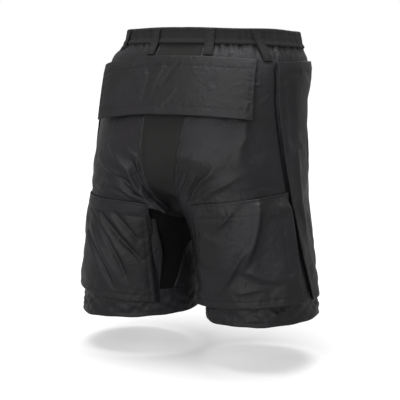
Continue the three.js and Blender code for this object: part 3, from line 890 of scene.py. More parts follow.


# Finishes: the material's name, its texture with the count per metre and the depth, the depth of the small creases, the
# range of roughness and other values of the shader. The gusset darkens along its strip, from the crotch on. The colours
# are named as the finish is, where no others are given.
FINISHES = {
    "nylon": {
        "material": "Nylon shell", "texture": weave_group, "count": 1600, "depth": 0.00006, "crumple": 0.0014,
        "roughness": (0.34, 0.48), "shader": {"Specular IOR Level": 0.34},
    },
    "knit": {
        "material": "Knit gusset", "texture": knit_group, "count": 650, "depth": 0.0003, "crumple": 0.0001,
        "roughness": (0.78, 0.9),
        "shader": {"Specular IOR Level": 0.2, "Sheen Weight": 0.04, "Sheen Roughness": 0.6},
        # Painted shade: the gusset's colour darkens towards that of the inside legs from the crotch on, where it runs
        # into the shade between the legs.
        "painted_shade": ("inside", {"Start": 0.262, "End": 0.292, "Slant": 0.5}),
    },
    # The knit inside the legs is a darker copy of the gusset's knit: painted shade of the inside of the legs.
    "inside": {
        "material": "Knit inside leg in painted shade", "texture": knit_group, "count": 650, "depth": 0.0003, "crumple": 0.0004,
        "roughness": (0.8, 0.9), "shader": {"Specular IOR Level": 0.15}, "slot": "knit",
    },
    "elastic": {
        "material": "Woven elastic", "texture": rib_group, "count": 550, "depth": 0.00025, "crumple": 0.0001,
        "roughness": (0.62, 0.75),
        "shader": {"Specular IOR Level": 0.3, "Sheen Weight": 0.04, "Sheen Roughness": 0.5},
    },
    "thread": {
        "material": "Sewing thread", "texture": rib_group, "count": 2400, "depth": 0.00005, "crumple": 0.00002,
        "roughness": (0.45, 0.6), "shader": {"Specular IOR Level": 0.4}, "worn": "nylon_worn",
    },
}


def cloth_material(key):
    """Cloth with a fine texture that follows its UV map, small creases, uneven tone and gloss, and painted shade along
    a strip where the finish asks for it.
    """
    finish = FINISHES[key]
    if finish["material"] in bpy.data.materials:
        return bpy.data.materials[finish["material"]]
    colours = bpy.context.scene.hockey_pants_colours
    material = bpy.data.materials.new(finish["material"])
    material.use_nodes = True
    tree = material.node_tree
    principled = tree.nodes["Principled BSDF"]
    coordinates = tree.nodes.new("ShaderNodeTexCoord")

    def group(build, vector, values):
        node = tree.nodes.new("ShaderNodeGroup")
        node.node_tree = shared_group(build)
        tree.links.new(coordinates.outputs[vector], node.inputs["Vector"])
        for name, value in values.items():
            node.inputs[name].default_value = value
        return node

    color, worn = getattr(colours, key), getattr(colours, finish.get("worn", f"{key}_worn"))
    tone = group(tone_group, "Object", {"Color": (*color, 1), "Worn Color": (*worn, 1)})
    base = tone.outputs["Color"]
    # Painted shade: the base colour is mixed towards a darker colour along the strip.
    if "painted_shade" in finish:
        dark, place = finish["painted_shade"]
        mask = group(shade_group, "UV", place)
        base = mix_colours(tree, mask.outputs["Mask"], (base, getattr(colours, dark)))
    tree.links.new(base, principled.inputs["Base Color"])
    gloss = tree.nodes.new("ShaderNodeMapRange")
    gloss.inputs["To Min"].default_value, gloss.inputs["To Max"].default_value = finish["roughness"]
    tree.links.new(tone.outputs["Value"], gloss.inputs["Value"])
    tree.links.new(gloss.outputs[0], principled.inputs["Roughness"])

    fine = group(finish["texture"], "UV", {})
    fine.inputs[1].default_value = finish["count"]
    normal = None
    for node, depth in ((group(crumple_group, "Object", {}), finish["crumple"]), (fine, finish["depth"])):
        bump = tree.nodes.new("ShaderNodeBump")
        bump.inputs["Strength"].default_value = 1
        bump.inputs["Distance"].default_value = depth
        tree.links.new(node.outputs["Height"], bump.inputs["Height"])
        if normal:
            tree.links.new(normal, bump.inputs["Normal"])
        normal = bump.outputs["Normal"]
    tree.links.new(normal, principled.inputs["Normal"])
    for socket, value in finish["shader"].items():
        principled.inputs[socket].default_value = value
    return material


def stitch_tree():
    """Geometry nodes that lay stitches along lines, flat on the cloth."""
    tree = bpy.data.node_groups.new("Stitches along seams", "GeometryNodeTree")
    sockets = [
        ("Geometry", "INPUT", "NodeSocketGeometry"), ("Spacing", "INPUT", "NodeSocketFloat"),
        ("Length", "INPUT", "NodeSocketFloat"), ("Width", "INPUT", "NodeSocketFloat"),
        ("Material", "INPUT", "NodeSocketMaterial"), ("Geometry", "OUTPUT", "NodeSocketGeometry"),
    ]
    for name, direction, kind in sockets:
        tree.interface.new_socket(name=name, in_out=direction, socket_type=kind)
    node = tree.nodes.new
    link = tree.links.new
    ins, outs = node("NodeGroupInput"), node("NodeGroupOutput")

    curve = node("GeometryNodeMeshToCurve")
    link(ins.outputs["Geometry"], curve.inputs["Mesh"])
    evenly = node("GeometryNodeResampleCurve")
    evenly.mode = "LENGTH"
    link(curve.outputs["Curve"], evenly.inputs["Curve"])
    link(ins.outputs["Spacing"], evenly.inputs["Length"])

    stitch = node("GeometryNodeMeshUVSphere")
    for name, value in {"Segments": 6, "Rings": 4, "Radius": 0.5}.items():
        stitch.inputs[name].default_value = value
    size = node("ShaderNodeCombineXYZ")
    link(ins.outputs["Length"], size.inputs["X"])
    link(ins.outputs["Width"], size.inputs["Y"])
    link(ins.outputs["Width"], size.inputs["Z"])
    shape = node("GeometryNodeTransform")
    link(stitch.outputs["Mesh"], shape.inputs["Geometry"])
    link(size.outputs[0], shape.inputs["Scale"])
    smooth = node("GeometryNodeSetShadeSmooth")
    link(shape.outputs[0], smooth.inputs["Geometry"])

    cloth_normal = node("GeometryNodeInputNamedAttribute")
    cloth_normal.data_type = "FLOAT_VECTOR"
    cloth_normal.inputs["Name"].default_value = "cloth_normal"
    upright = node("FunctionNodeAlignRotationToVector")
    upright.axis = "Z"
    link(cloth_normal.outputs["Attribute"], upright.inputs["Vector"])
    along = node("FunctionNodeAlignRotationToVector")
    along.axis = "X"
    along.pivot_axis = "Z"
    link(upright.outputs[0], along.inputs["Rotation"])
    link(node("GeometryNodeInputTangent").outputs[0], along.inputs["Vector"])

    placed = node("GeometryNodeInstanceOnPoints")
    link(evenly.outputs[0], placed.inputs["Points"])
    link(smooth.outputs[0], placed.inputs["Instance"])
    link(along.outputs[0], placed.inputs["Rotation"])
    real = node("GeometryNodeRealizeInstances")
    link(placed.outputs[0], real.inputs[0])
    finish = node("GeometryNodeSetMaterial")
    link(real.outputs[0], finish.inputs["Geometry"])
    link(ins.outputs["Material"], finish.inputs["Material"])
    link(finish.outputs[0], outs.inputs["Geometry"])
    return tree


def length_property(name, description, default):
    return FloatProperty(name=name, description=description, default=default, unit="LENGTH")


def factor_property(name, description, default):
    return FloatProperty(name=name, description=description, default=default, subtype="FACTOR")


def colour_property(name, description, default):
    return FloatVectorProperty(name=name, description=description, default=default, subtype="COLOR")


class HockeyPantsSizes(bpy.types.PropertyGroup):
    """Sizes of the cloth and the stitching."""

    panel_cloth: length_property("Panel cloth", "Thickness of the seat, front and leg panels", 0.0014)
    pocket_cloth: length_property("Pocket cloth", "Thickness of the lined pockets", 0.002)
    band_cloth: length_property("Waistband", "Thickness of the waistband", 0.003)
    spare_cloth: factor_property("Spare cloth", "How much longer the cloth is than the form it covers", 0.02)
    fold_strength: factor_property("Fold strength", "Height of the folds against that of the worn pants", 1.0)
    stitch_spacing: length_property("Stitch spacing", "Distance from one stitch to the next", 0.0034)
    stitch_length: length_property("Stitch length", "Length of thread that shows in a stitch", 0.0026)
    thread_width: length_property("Thread width", "Thickness of the sewing thread", 0.0006)


class HockeyPantsColours(bpy.types.PropertyGroup):
    """Colours of the finishes."""

    nylon: colour_property("Nylon", "Colour of the nylon shell", (0.0114, 0.0111, 0.0118))
    nylon_worn: colour_property("Nylon, worn", "Lighter tone of the nylon shell", (0.0168, 0.0144, 0.0182))
    knit: colour_property("Knit", "Colour of the knit gusset", (0.0238, 0.0243, 0.0228))
    knit_worn: colour_property("Knit, worn", "Lighter tone of the knit gusset", (0.0292, 0.0298, 0.0280))
    # The knit inside the legs is darker than the gusset's knit: painted shade of the inside of the legs.
    inside: colour_property("Inside leg", "Colour of the knit inside the legs", (0.0055, 0.0055, 0.0055))
    inside_worn: colour_property("Inside leg, worn", "Lighter tone of the knit inside the legs", (0.008, 0.008, 0.008))
    elastic: colour_property("Elastic", "Colour of the waistband and loops", (0.0165, 0.0165, 0.0165))
    elastic_worn: colour_property("Elastic, worn", "Lighter tone of the waistband and loops", (0.0215, 0.0215, 0.0215))
    thread: colour_property("Thread", "Colour of the sewing thread", (0.014, 0.014, 0.0145))
    floor: colour_property("Floor", "Colour of the floor", (0.86, 0.86, 0.86))


def pants_sizes():
    return bpy.context.scene.hockey_pants_sizes


class HOCKEYPANTS_OT_stage(bpy.types.Operator):
    """Adds the floor, the soft lights and the camera."""

    bl_idname = "hockey_pants.stage"
    bl_label = "Stage"

    FLOOR_Z = -0.565
    FLOOR_HALF = 12
    FLOOR_ROUGHNESS = 0.9
    # What the floor throws back on the cloth, and how much it glows where the camera sees it
    FLOOR_BOUNCE = (0.4, 0.4, 0.4)
    FLOOR_GLOW = 0.25
    # Disk lights: name, place, what they point at, size and power
    LIGHTS = (
        ("key", (0.15, 2.5, 1.4), (0, 0, -0.25), 1.3, 12.5),
        ("low fill", (-0.5, 2.7, -0.25), (0, 0, -0.4), 1.9, 25),
        ("front fill", (0.6, -3.0, 1.2), (0, 0, -0.25), 1.8, 5),
    )
    CEILING_POWER = 2.0
    CEILING_SPREAD = 0.7
    # Strength of the surroundings, as light on the cloth and as the camera sees them
    AMBIENT = 0.40
    BACKDROP = 1.0
    EYE = (-0.945, 1.706, 0.0)
    AIM = (0.0, 0.0, -0.290)
    LENS = 97.9
    SENSOR = 36

    def place(self, name, data, place, aim):
        """Adds a light or the camera at a place, pointed at another."""
        added = bpy.data.objects.new(name, data)
        added.location = place
        added.rotation_euler = (Vector(aim) - Vector(place)).to_track_quat("-Z", "Y").to_euler()
        bpy.context.collection.objects.link(added)
        return added

    def add_floor(self, colour):
        half = self.FLOOR_HALF
        mesh = bpy.data.meshes.new("floor")
        corners = [(-half, -half), (half, -half), (half, half), (-half, half)]
        mesh.from_pydata([(x, y, self.FLOOR_Z) for x, y in corners], [], [(0, 1, 2, 3)])
        material = bpy.data.materials.new("Pale floor")
        material.use_nodes = True
        tree = material.node_tree
        shader = tree.nodes["Principled BSDF"]
        seen = tree.nodes.new("ShaderNodeLightPath").outputs["Is Camera Ray"]
        for socket, unseen_and_seen in (
            ("Base Color", (self.FLOOR_BOUNCE, colour)), ("Emission Color", ((0, 0, 0), (1, 1, 1))),
        ):
            tree.links.new(mix_colours(tree, seen, unseen_and_seen), shader.inputs[socket])
        shader.inputs["Emission Strength"].default_value = self.FLOOR_GLOW
        shader.inputs["Roughness"].default_value = self.FLOOR_ROUGHNESS
        mesh.materials.append(material)
        floor = bpy.data.objects.new("floor", mesh)
        bpy.context.collection.objects.link(floor)

    def add_lights(self):
        for name, place, aim, size, power in self.LIGHTS:
            data = bpy.data.lights.new(name, "AREA")
            data.shape = "DISK"
            data.size = size
            data.energy = power
            self.place(name, data, place, aim)
        sun = bpy.data.lights.new("ceiling", "SUN")
        sun.energy = self.CEILING_POWER
        sun.angle = self.CEILING_SPREAD
        bpy.context.collection.objects.link(bpy.data.objects.new("ceiling", sun))

    def surroundings(self):
        world = bpy.data.worlds.new("Studio")
        world.use_nodes = True
        tree = world.node_tree
        tree.nodes.clear()
        mix = tree.nodes.new("ShaderNodeMixShader")
        tree.links.new(tree.nodes.new("ShaderNodeLightPath").outputs["Is Camera Ray"], mix.inputs[0])
        for socket, strength in zip(mix.inputs[1:], (self.AMBIENT, self.BACKDROP)):
            background = tree.nodes.new("ShaderNodeBackground")
            background.inputs["Color"].default_value = (1, 1, 1, 1)
            background.inputs["Strength"].default_value = strength
            tree.links.new(background.outputs[0], socket)
        output = tree.nodes.new("ShaderNodeOutputWorld")
        tree.links.new(mix.outputs[0], output.inputs["Surface"])
        return world

    def execute(self, context):
        scene = context.scene
        self.add_floor(scene.hockey_pants_colours.floor)
        self.add_lights()
        scene.world = self.surroundings()
        scene.view_settings.view_transform = "Standard"
        data = bpy.data.cameras.new("camera")
        data.lens = self.LENS
        data.sensor_width = self.SENSOR
        data.dof.use_dof = False
        scene.camera = self.place("camera", data, self.EYE, self.AIM)
        return {"FINISHED"}


class HOCKEYPANTS_OT_waistband(bpy.types.Operator):
    """Makes the elastic waistband, gathered outside the flat middle of the back."""

    bl_idname = "hockey_pants.waistband"
    bl_label = "Waistband"

    STITCH_ROWS = (0.2, 0.7)
    STITCH_DEPTH = 0.35
    # Height and count of the ribs and of the waves in the top edge, and the shift of the left side's waves
    RIBS = (0.35, 95)
    TOP_WAVES = (0.9, 5)
    TOP_WAVE_SHIFT = 40
    # Angles from the middles over which the ribs begin, and from the sides over which the rolled edge ends
    RIB_START = (22, 34)
    ROLL_END = (4, 46)
    ROLL_DROP = 0.3
    CROWN = 0.5
    LIP_START = (0.6, 0.9)

    def execute(self, context):
        lines = ring_lines(self.STITCH_ROWS)

        def surface(u, v):
            turn = np.mod(u, 1)
            left = turn < 0.5
            angle = np.where(left, lerp(90, -90, turn / 0.5), lerp(-90, 90, (turn - 0.5) / 0.5))
            z = lerp(BAND_TOP, BAND_BOTTOM - BAND_OVERLAP, v)
            ribs = waves(angle, *self.RIBS) * smoothstep(np.abs(90 - np.abs(angle)), *self.RIB_START)
            crown = self.CROWN * np.sin(np.pi * v)
            top = waves(angle, *self.TOP_WAVES, self.TOP_WAVE_SHIFT * left) * (1 - v)
            roll = (1 - smoothstep(np.abs(angle), *self.ROLL_END)) * (1 - v) ** 2
            relief = seam_relief("band", u, v, lines, self.STITCH_DEPTH)
            off = gather_height(z, angle) * BAND_GATHER + ribs + crown + relief
            off += BAND_LIP * smoothstep(v, *self.LIP_START)
            off += np.where(left, waist_fullness(z, angle, "left"), waist_fullness(z, angle, "right"))
            points = off_loop(z, angle, off - BAND_ROLL * roll)
            points[..., 0] *= np.where(left, 1, -1)
            points[..., 2] += top - BAND_ROLL * self.ROLL_DROP * roll
            return points

        make_cloth(
            "waistband_tape", "waistband", surface, pants_sizes().band_cloth / MM, "elastic", "band",
            lines=lines, ring=True,
        )
        return {"FINISHED"}


class HOCKEYPANTS_OT_belt_loops(bpy.types.Operator):
    """Makes the four belt loops, tapes sewn down at their two ends."""

    bl_idname = "hockey_pants.belt_loops"
    bl_label = "Belt Loops"

    TOP = BAND_TOP - 1
    CROWN = 0.3
    STITCH_DEPTH = 0.25
    # Rows of the tacks at both ends, and the lines along both edges, as shares of the tape
    TACK_ROWS = (0.03, 0.06, 0.94, 0.97)
    TACK_ENDS = (0.12, 0.88)
    EDGE_LINES = (0.14, 0.86)
    EDGE_ENDS = (0.04, 0.96)

    def execute(self, context):
        lines = [[(u, v) for u in self.TACK_ENDS] for v in self.TACK_ROWS]
        lines += [[(u, v) for v in self.EDGE_ENDS] for u in self.EDGE_LINES]
        for name, loop in BELT_LOOPS.items():
            for side, mirrored in SIDES:
                def surface(u, v):
                    z = lerp(self.TOP, loop["bottom"], v)
                    turn = np.degrees(loop["width"] / 2 * (1 - 2 * u) / section_at(z)["outer"])
                    slack = LOOP_SLACK * np.sin(np.pi * v)
                    crown = self.CROWN * np.sin(np.pi * u) + seam_relief("loop", u, v, lines, self.STITCH_DEPTH)
                    angle = loop["angle"] + loop["lean"] * (1 - v) + turn
                    off = LOOP_CLOTH + SEWN_GAP + slack + crown + waist_fullness(z, angle, side)
                    return off_loop(z, angle, off)

                make_cloth(
                    f"{name}_tape_{side}", f"{name}_{side}", surface, LOOP_CLOTH, "elastic", "loop",
                    lines=lines, mirrored=mirrored,
                )
        return {"FINISHED"}


class HOCKEYPANTS_OT_gusset(bpy.types.Operator):
    """Makes the knit strip down the middle of the seat, under the crotch and up the front."""

    bl_idname = "hockey_pants.gusset"
    bl_label = "Gusset"

    # Shares of the strip's length where its seams with the seat end and those with the front begin
    BACK_SHARE = 15 / 33
    FRONT_SHARE = 1 - 10 / 33
    # Shares of the length over which it begins and ends to go on under the seat panels
    UNDER_START = (0.41, 0.435)
    UNDER_END = (0.52, 0.48)
    # Hollows along the strip: depth, squareness, and the shares of the length over which each begins and ends
    HOLLOWS = ((2.5, 8, (0.1, 0.25), (0.75, 0.65)), (9, 2.5, (0.36, 0.44), (0.6, 0.5)))
    STEP = 0.002

    def execute(self, context):
        def edge_points(v, side):
            back_z = lerp(PANEL_TOP, SEAM_END, v / self.BACK_SHARE)
            front_z = lerp(SEAM_END, PANEL_TOP, (v - self.FRONT_SHARE) / (1 - self.FRONT_SHARE))
            share = np.clip((v - self.BACK_SHARE) / (self.FRONT_SHARE - self.BACK_SHARE), 0, 1)
            back = v < self.BACK_SHARE
            front = v > self.FRONT_SHARE
            z = np.where(back, back_z, np.where(front, front_z, crotch_edge(share)))
            angle = np.where(
                back, seat_edge_angle(z, side), np.where(front, front_edge_angle(z), inside_angle(z, share)),
            )
            return loop_point(z, angle) - (SEAM_GAP, 0, 0)

        def across_seams(u, v):
            """Places across the strip, where 0 and 1 are its seams and it goes on under the panels at the crotch."""
            under = GUSSET_UNDERLAP * smoothstep(v, *self.UNDER_START) * smoothstep(v, *self.UNDER_END)
            return u + (2 * u - 1) * under

        def between_seams(u, v):
            place = across_seams(u, v)[..., None]
            return lerp(edge_points(v, "right") * (-1, 1, 1), edge_points(v, "left"), place)

        def surface(u, v):
            across = between_seams(u + self.STEP, v) - between_seams(u - self.STEP, v)
            down = between_seams(u, v + self.STEP) - between_seams(u, v - self.STEP)
            from_middle = np.minimum(1, np.abs(2 * across_seams(u, v) - 1))
            hollow = sum(
                depth * (1 - from_middle**square) * smoothstep(v, *start) * smoothstep(v, *end)
                for depth, square, start, end in self.HOLLOWS
            )
            return between_seams(u, v) - unit(np.cross(across, down)) * hollow[..., None]

        make_cloth("gusset_knit", "gusset", surface, pants_sizes().panel_cloth / MM, "knit", "gusset")
        return {"FINISHED"}


class HOCKEYPANTS_OT_seat_panels(bpy.types.Operator):
    """Makes the back half of each side, with the folds that pull towards the crotch."""

    bl_idname = "hockey_pants.seat_panels"
    bl_label = "Seat Panels"

    SEAM_U = 0.02
    SEAM_DEPTH = 0.3
    # Distances from the pockets over which what they cover ends: above the thigh pocket in millimetres, and from its
    # inner edge and the hip pocket's back edge in degrees
    COVER_ABOVE = (2, 16)
    COVER_INSIDE = (4, 12)
    COVER_BEHIND = (1, 12)
    # Angles between which the thigh pockets' top edges rise
    RISE_FROM = 116
    RISE_TO = 20
    FOLD_FREE = (0, 0.05)
    # Groove beside the hip pocket: millimetres per degree, depth, place, half width and the heights where it begins
    MM_PER_DEGREE = 1.8
    GROOVE = {"depth": 3.0, "place": 2, "spread": 2.5, "top": (-45, -60)}
    # Small gathers above the thigh pocket: waves and their shift, sharpness, mean, height, place and reach above the
    # pocket, middle and spread round the leg
    TICKS = {
        "count": 33, "shift": (60, 9), "sharp": 0.7, "mean": 0.6, "height": 1.6, "above": 3, "reach": 6, "middle": 78,
        "spread": 26,
    }
    # Cloth simulation: share of the panel held along its edges, heights below the back pocket where it comes free,
    # stiffness and reach
    HELD_EDGE = 0.05
    FREE_BELOW = (-220, -150)
    STIFFNESS = 0.6
    REACH = (1.6, 2.0)

    def execute(self, context):
        sizes = pants_sizes()
        seam = [[(self.SEAM_U, 0.0), (self.SEAM_U, SEAT_SEAM_SHARE)]]
        for side, mirrored in SIDES:
            pocket = THIGH_POCKET[side]

            def layout(u, v):
                z = panel_height(v, SEAT_SEAM_SHARE)
                edge = seat_edge_angle(z, side) - gap_angle(z)
                return z, lerp(edge, SIDE_SEAM + gap_angle(z, SIDE_SEAM_GAP), u)

            def above_pocket(z, angle, rise_from):
                return z - THIGH_POCKET["top"] - pocket["rise"][0] * smoothstep(angle, rise_from, self.RISE_TO)

            def covered(u, v):
                z, angle = layout(u, v)
                inner = pocket["inner"][0]
                hip_edge = hip_back_angle(z)
                thigh = 1 - smoothstep(above_pocket(z, angle, inner), *self.COVER_ABOVE)
                thigh = thigh * (1 - smoothstep(angle, *(inner + reach for reach in self.COVER_INSIDE)))
                hip = 1 - smoothstep(angle, *(hip_edge + reach for reach in self.COVER_BEHIND))
                return np.maximum(thigh, hip)

            def surface(u, v):
                z, angle = layout(u, v)
                shown = (1 - covered(u, v)) * smoothstep(u, *self.FOLD_FREE)
                fold = fold_height("seat", side, u, v) * sizes.fold_strength * shown
                beside_hip = (angle - hip_back_angle(z)) * self.MM_PER_DEGREE
                groove = self.GROOVE["depth"] * hill(beside_hip, self.GROOVE["place"], self.GROOVE["spread"])
                groove = -groove * smoothstep(z, *self.GROOVE["top"])
                above = above_pocket(z, angle, self.RISE_FROM)
                ticks = np.abs(waves(angle, 1, self.TICKS["count"], waves(angle, *self.TICKS["shift"])))
                ticks = self.TICKS["height"] * (ticks ** self.TICKS["sharp"] - self.TICKS["mean"])
                ticks = ticks * np.exp(-np.abs(above - self.TICKS["above"]) / self.TICKS["reach"])
                ticks = ticks * hill(angle, self.TICKS["middle"], self.TICKS["spread"])
                relief = seam_relief("seat", u, v, seam, self.SEAM_DEPTH)
                off = gather_height(z, angle) + fold + groove + ticks + relief
                points = off_loop(z, angle, off + fullness(z, angle, side))
                return points + crotch_drag(z, u) if side == "left" else points

            def held(u, v):
                under_back = smoothstep(layout(u, v)[0], *self.FREE_BELOW)
                return np.maximum.reduce([edge_hold(u, v, self.HELD_EDGE, self.HELD_EDGE), covered(u, v), under_back])

            settled = settled_moves(surface, "seat", held, sizes.spare_cloth, self.STIFFNESS, self.REACH)
            make_cloth(
                f"seat_cloth_{side}", f"seat_panel_{side}", surface, sizes.panel_cloth / MM,
                "nylon", "seat", lines=seam, mirrored=mirrored, settled=settled,
            )
        return {"FINISHED"}


class HOCKEYPANTS_OT_front_panels(bpy.types.Operator):
    """Makes the front half of each side."""

    bl_idname = "hockey_pants.front_panels"
    bl_label = "Front Panels"

    SEAM_LINES = (0.982, 0.967)
    # Cloth simulation: share of the panel held along its edges and under the hip pocket, stiffness and reach
    HELD_EDGE = 0.05
    FREE_BEYOND_HIP = (0.5, 0.62)
    STIFFNESS = 0.6
    REACH = (4, 5)

    def execute(self, context):
        sizes = pants_sizes()
        seam = [[(u, 0.0), (u, FRONT_SEAM_SHARE)] for u in self.SEAM_LINES]
        for side, mirrored in SIDES:
            def surface(u, v):
                z = panel_height(v, FRONT_SEAM_SHARE)
                gap = gap_angle(z, SIDE_SEAM_GAP)
                angle = lerp(SIDE_SEAM - gap, front_edge_angle(z) + gap, u)
                fold = fold_height("front", side, u, v) * sizes.fold_strength
                off = gather_height(z, angle) + fold + seam_relief("front", u, v, seam)
                return off_loop(z, angle, off + fullness(z, angle, side))

            def held(u, v):
                under_hip = 1 - smoothstep(u, *self.FREE_BEYOND_HIP)
                return np.maximum(edge_hold(u, v, self.HELD_EDGE, self.HELD_EDGE), under_hip)

            settled = settled_moves(surface, "front", held, sizes.spare_cloth, self.STIFFNESS, self.REACH)
            make_cloth(
                f"front_cloth_{side}", f"front_panel_{side}", surface, sizes.panel_cloth / MM,
                "nylon", "front", lines=seam, mirrored=mirrored, settled=settled,
            )
        return {"FINISHED"}


class HOCKEYPANTS_OT_inside_legs(bpy.types.Operator):
    """Makes the knit panels on the inside of the legs."""

    bl_idname = "hockey_pants.inside_legs"
    bl_label = "Inside Legs"

    # Shares past the seat's seam: how far the knit goes on under the seat panel, and where it rises and steps inwards
    UNDER_SEAT = -0.16
    RISE = (0.06, -0.03)
    STEP_IN = (0.1, -0.02)
    STEP_DEPTH = 3.5

    def execute(self, context):
        for side, mirrored in SIDES:
            def surface(u, v):
                share = lerp(1, self.UNDER_SEAT, u)
                top = crotch_edge(np.clip(share, 0, 1)) + INSIDE_UNDERLAP * smoothstep(share, *self.RISE)
                z = lerp(top - SEAM_GAP, HEM_TOP + SEAM_GAP, v)
                angle = inside_angle(z, share)
                step = self.STEP_DEPTH * smoothstep(share, *self.STEP_IN)
                return off_loop(z, angle, fullness(z, angle, side) - step)

            make_cloth(
                f"inside_knit_{side}", f"inside_leg_{side}", surface, pants_sizes().panel_cloth / MM,
                "inside", "inside", mirrored=mirrored,
            )
        return {"FINISHED"}


class HOCKEYPANTS_OT_thigh_pockets(bpy.types.Operator):
    """Makes the pad pockets over the backs of the thighs."""

    bl_idname = "hockey_pants.thigh_pockets"
    bl_label = "Thigh Pockets"

    # Margins of the two frames of stitches from the left, right, top and bottom edge
    STITCH_FRAMES = ((4, 4, 4, 12), (15, 29, 26, 0))
    SEWN_REACH = 0.05
    LEAST_OFF = 0.4
    # Where the pad's stiff edge lifts the outer side, as shares of the width and height
    BOARD_SIDE = (0.66, 0.96)
    BOARD_TOP = (0, 0.15)
    # Cloth simulation: share of the pocket held along its edges, stiffness, reach and grid step
    HELD_EDGE = 0.06
    STIFFNESS = 0.5
    REACH = (1.5, 3)
    GRID_STEP = 5

    def execute(self, context):
        sizes = pants_sizes()
        cloth = sizes.pocket_cloth / MM
        lines = [line for margins in self.STITCH_FRAMES for line in frame_lines("thigh", margins)]
        for side, mirrored in SIDES:
            pocket = THIGH_POCKET[side]

            def surface(u, v):
                z = lerp(THIGH_POCKET["top"], pocket["bottom"], v) + lerp(*pocket["rise"], v) * u
                angle = lerp(lerp(*pocket["inner"], v), lerp(*THIGH_POCKET["outer"], v), u)
                fold = fold_height("thigh", side, u, v) * sizes.fold_strength
                relief = seam_relief("thigh", u, v, lines)
                board = pocket["board"] * smoothstep(u, *self.BOARD_SIDE) * smoothstep(v, *self.BOARD_TOP)
                off = np.maximum(self.LEAST_OFF, stand_off(THIGH_POCKET["off"], v) + board + fold + relief)
                return off_loop(z, angle, SEWN_GAP + cloth + off * sewn_edge(u, self.SEWN_REACH))

            def held(u, v):
                return edge_hold(u, v, self.HELD_EDGE, self.HELD_EDGE)

            settled = settled_moves(
                surface, "thigh", held, sizes.spare_cloth, self.STIFFNESS, self.REACH, step=self.GRID_STEP,
            )
            make_cloth(
                f"thigh_cloth_{side}", f"thigh_pocket_{side}", surface, cloth, "nylon", "thigh",
                lines=lines, mirrored=mirrored, settled=settled,
            )
        return {"FINISHED"}


class HOCKEYPANTS_OT_hip_pockets(bpy.types.Operator):
    """Makes the pad pockets down the outsides of the hips and thighs."""

    bl_idname = "hockey_pants.hip_pockets"
    bl_label = "Hip Pockets"

    STITCH_FRAME = (6, 6, 16, 8)
    STITCH_DEPTH = 0.6
    SEWN_REACH = 0.3
    # How far the back edge stands up, and the share of the width over which it does
    EDGE_RAISED = 1.8
    EDGE_REACH = 0.10
    # Cloth simulation: shares of the pocket held along its sides and ends, stiffness and reach
    HELD_SIDE = 0.06
    HELD_END = 0.03
    STIFFNESS = 0.6
    REACH = (1.0, 2)

    def execute(self, context):
        sizes = pants_sizes()
        cloth = sizes.pocket_cloth / MM
        lines = frame_lines("hip", self.STITCH_FRAME)
        for side, mirrored in SIDES:
            def surface(u, v):
                level = lerp(HIP_POCKET["top"], HIP_POCKET["bottom"], v)
                z = level + HIP_POCKET["front_rise"] * u * u * (1 - v)
                z = z - HIP_POCKET["back_drop"][side] * (1 - u) ** 4 * (1 - v)
                angle = lerp(hip_back_angle(level), lerp(*HIP_POCKET["front"], v), u)
                fold = fold_height("hip", side, u, v) * sizes.fold_strength
                off = stand_off(HIP_POCKET["off"], v) * sewn_edge(u, self.SEWN_REACH) + fold
                raised = self.EDGE_RAISED * (1 - smoothstep(u, 0.0, self.EDGE_REACH))
                off = np.maximum(0, off + raised + seam_relief("hip", u, v, lines, self.STITCH_DEPTH))
                off = off + fullness(z, angle, side)
                return off_loop(z, angle, SEWN_GAP + cloth + off)

            def held(u, v):
                return edge_hold(u, v, self.HELD_SIDE, self.HELD_END)

            settled = settled_moves(surface, "hip", held, sizes.spare_cloth, self.STIFFNESS, self.REACH)
            make_cloth(
                f"hip_cloth_{side}", f"hip_pocket_{side}", surface, cloth, "nylon", "hip",
                lines=lines, mirrored=mirrored, settled=settled,
            )
        return {"FINISHED"}


class HOCKEYPANTS_OT_back_pocket(bpy.types.Operator):
    """Makes the wide stiff pocket across the small of the back."""

    bl_idname = "hockey_pants.back_pocket"
    bl_label = "Back Pocket"

    STITCH_FRAME = (5, 5, 16, 14)
    STITCH_DEPTH = 0.5
    # Short tack near the right end
    TACK = [(0.12, 0.175), (0.15, 0.175)]
    # How the edges bow down towards the ends, and the shares from the middle over which the ends lift off
    BOW = 2.5
    END_LIFT = (0.62, 1)

    def execute(self, context):
        sizes = pants_sizes()
        cloth = sizes.pocket_cloth / MM
        lines = frame_lines("back", self.STITCH_FRAME) + [self.TACK]

        def surface(u, v):
            across = 2 * u - 1
            end = np.abs(across)
            left = across > 0

            def pick(key):
                return np.where(left, lerp(*BACK_POCKET["left"][key], v), lerp(*BACK_POCKET["right"][key], v))

            z = lerp(BACK_POCKET["top"], BACK_POCKET["bottom"], v) - pick("drop") * end ** self.BOW
            x = pick("half") * end
            leg_x = section_at(z)["leg_x"]
            bend = fold_height("back", "both", u, v) * sizes.fold_strength
            relief = seam_relief("back", u, v, lines, self.STITCH_DEPTH)
            off = BACK_POCKET["off"] * v + pick("end_off") * smoothstep(end, *self.END_LIFT)
            off = np.maximum(0, off + bend + relief)
            points = off_loop(z, np.where(x > leg_x, angle_at_x(z, x), 90), SEWN_GAP + cloth + off)
            points[..., 0] = np.where(x > leg_x, points[..., 0], x) * np.where(left, 1, -1)
            return points

        make_cloth(
            "back_cloth", "back_pocket", surface, cloth, "nylon", "back",
            lines=lines,
        )
        return {"FINISHED"}


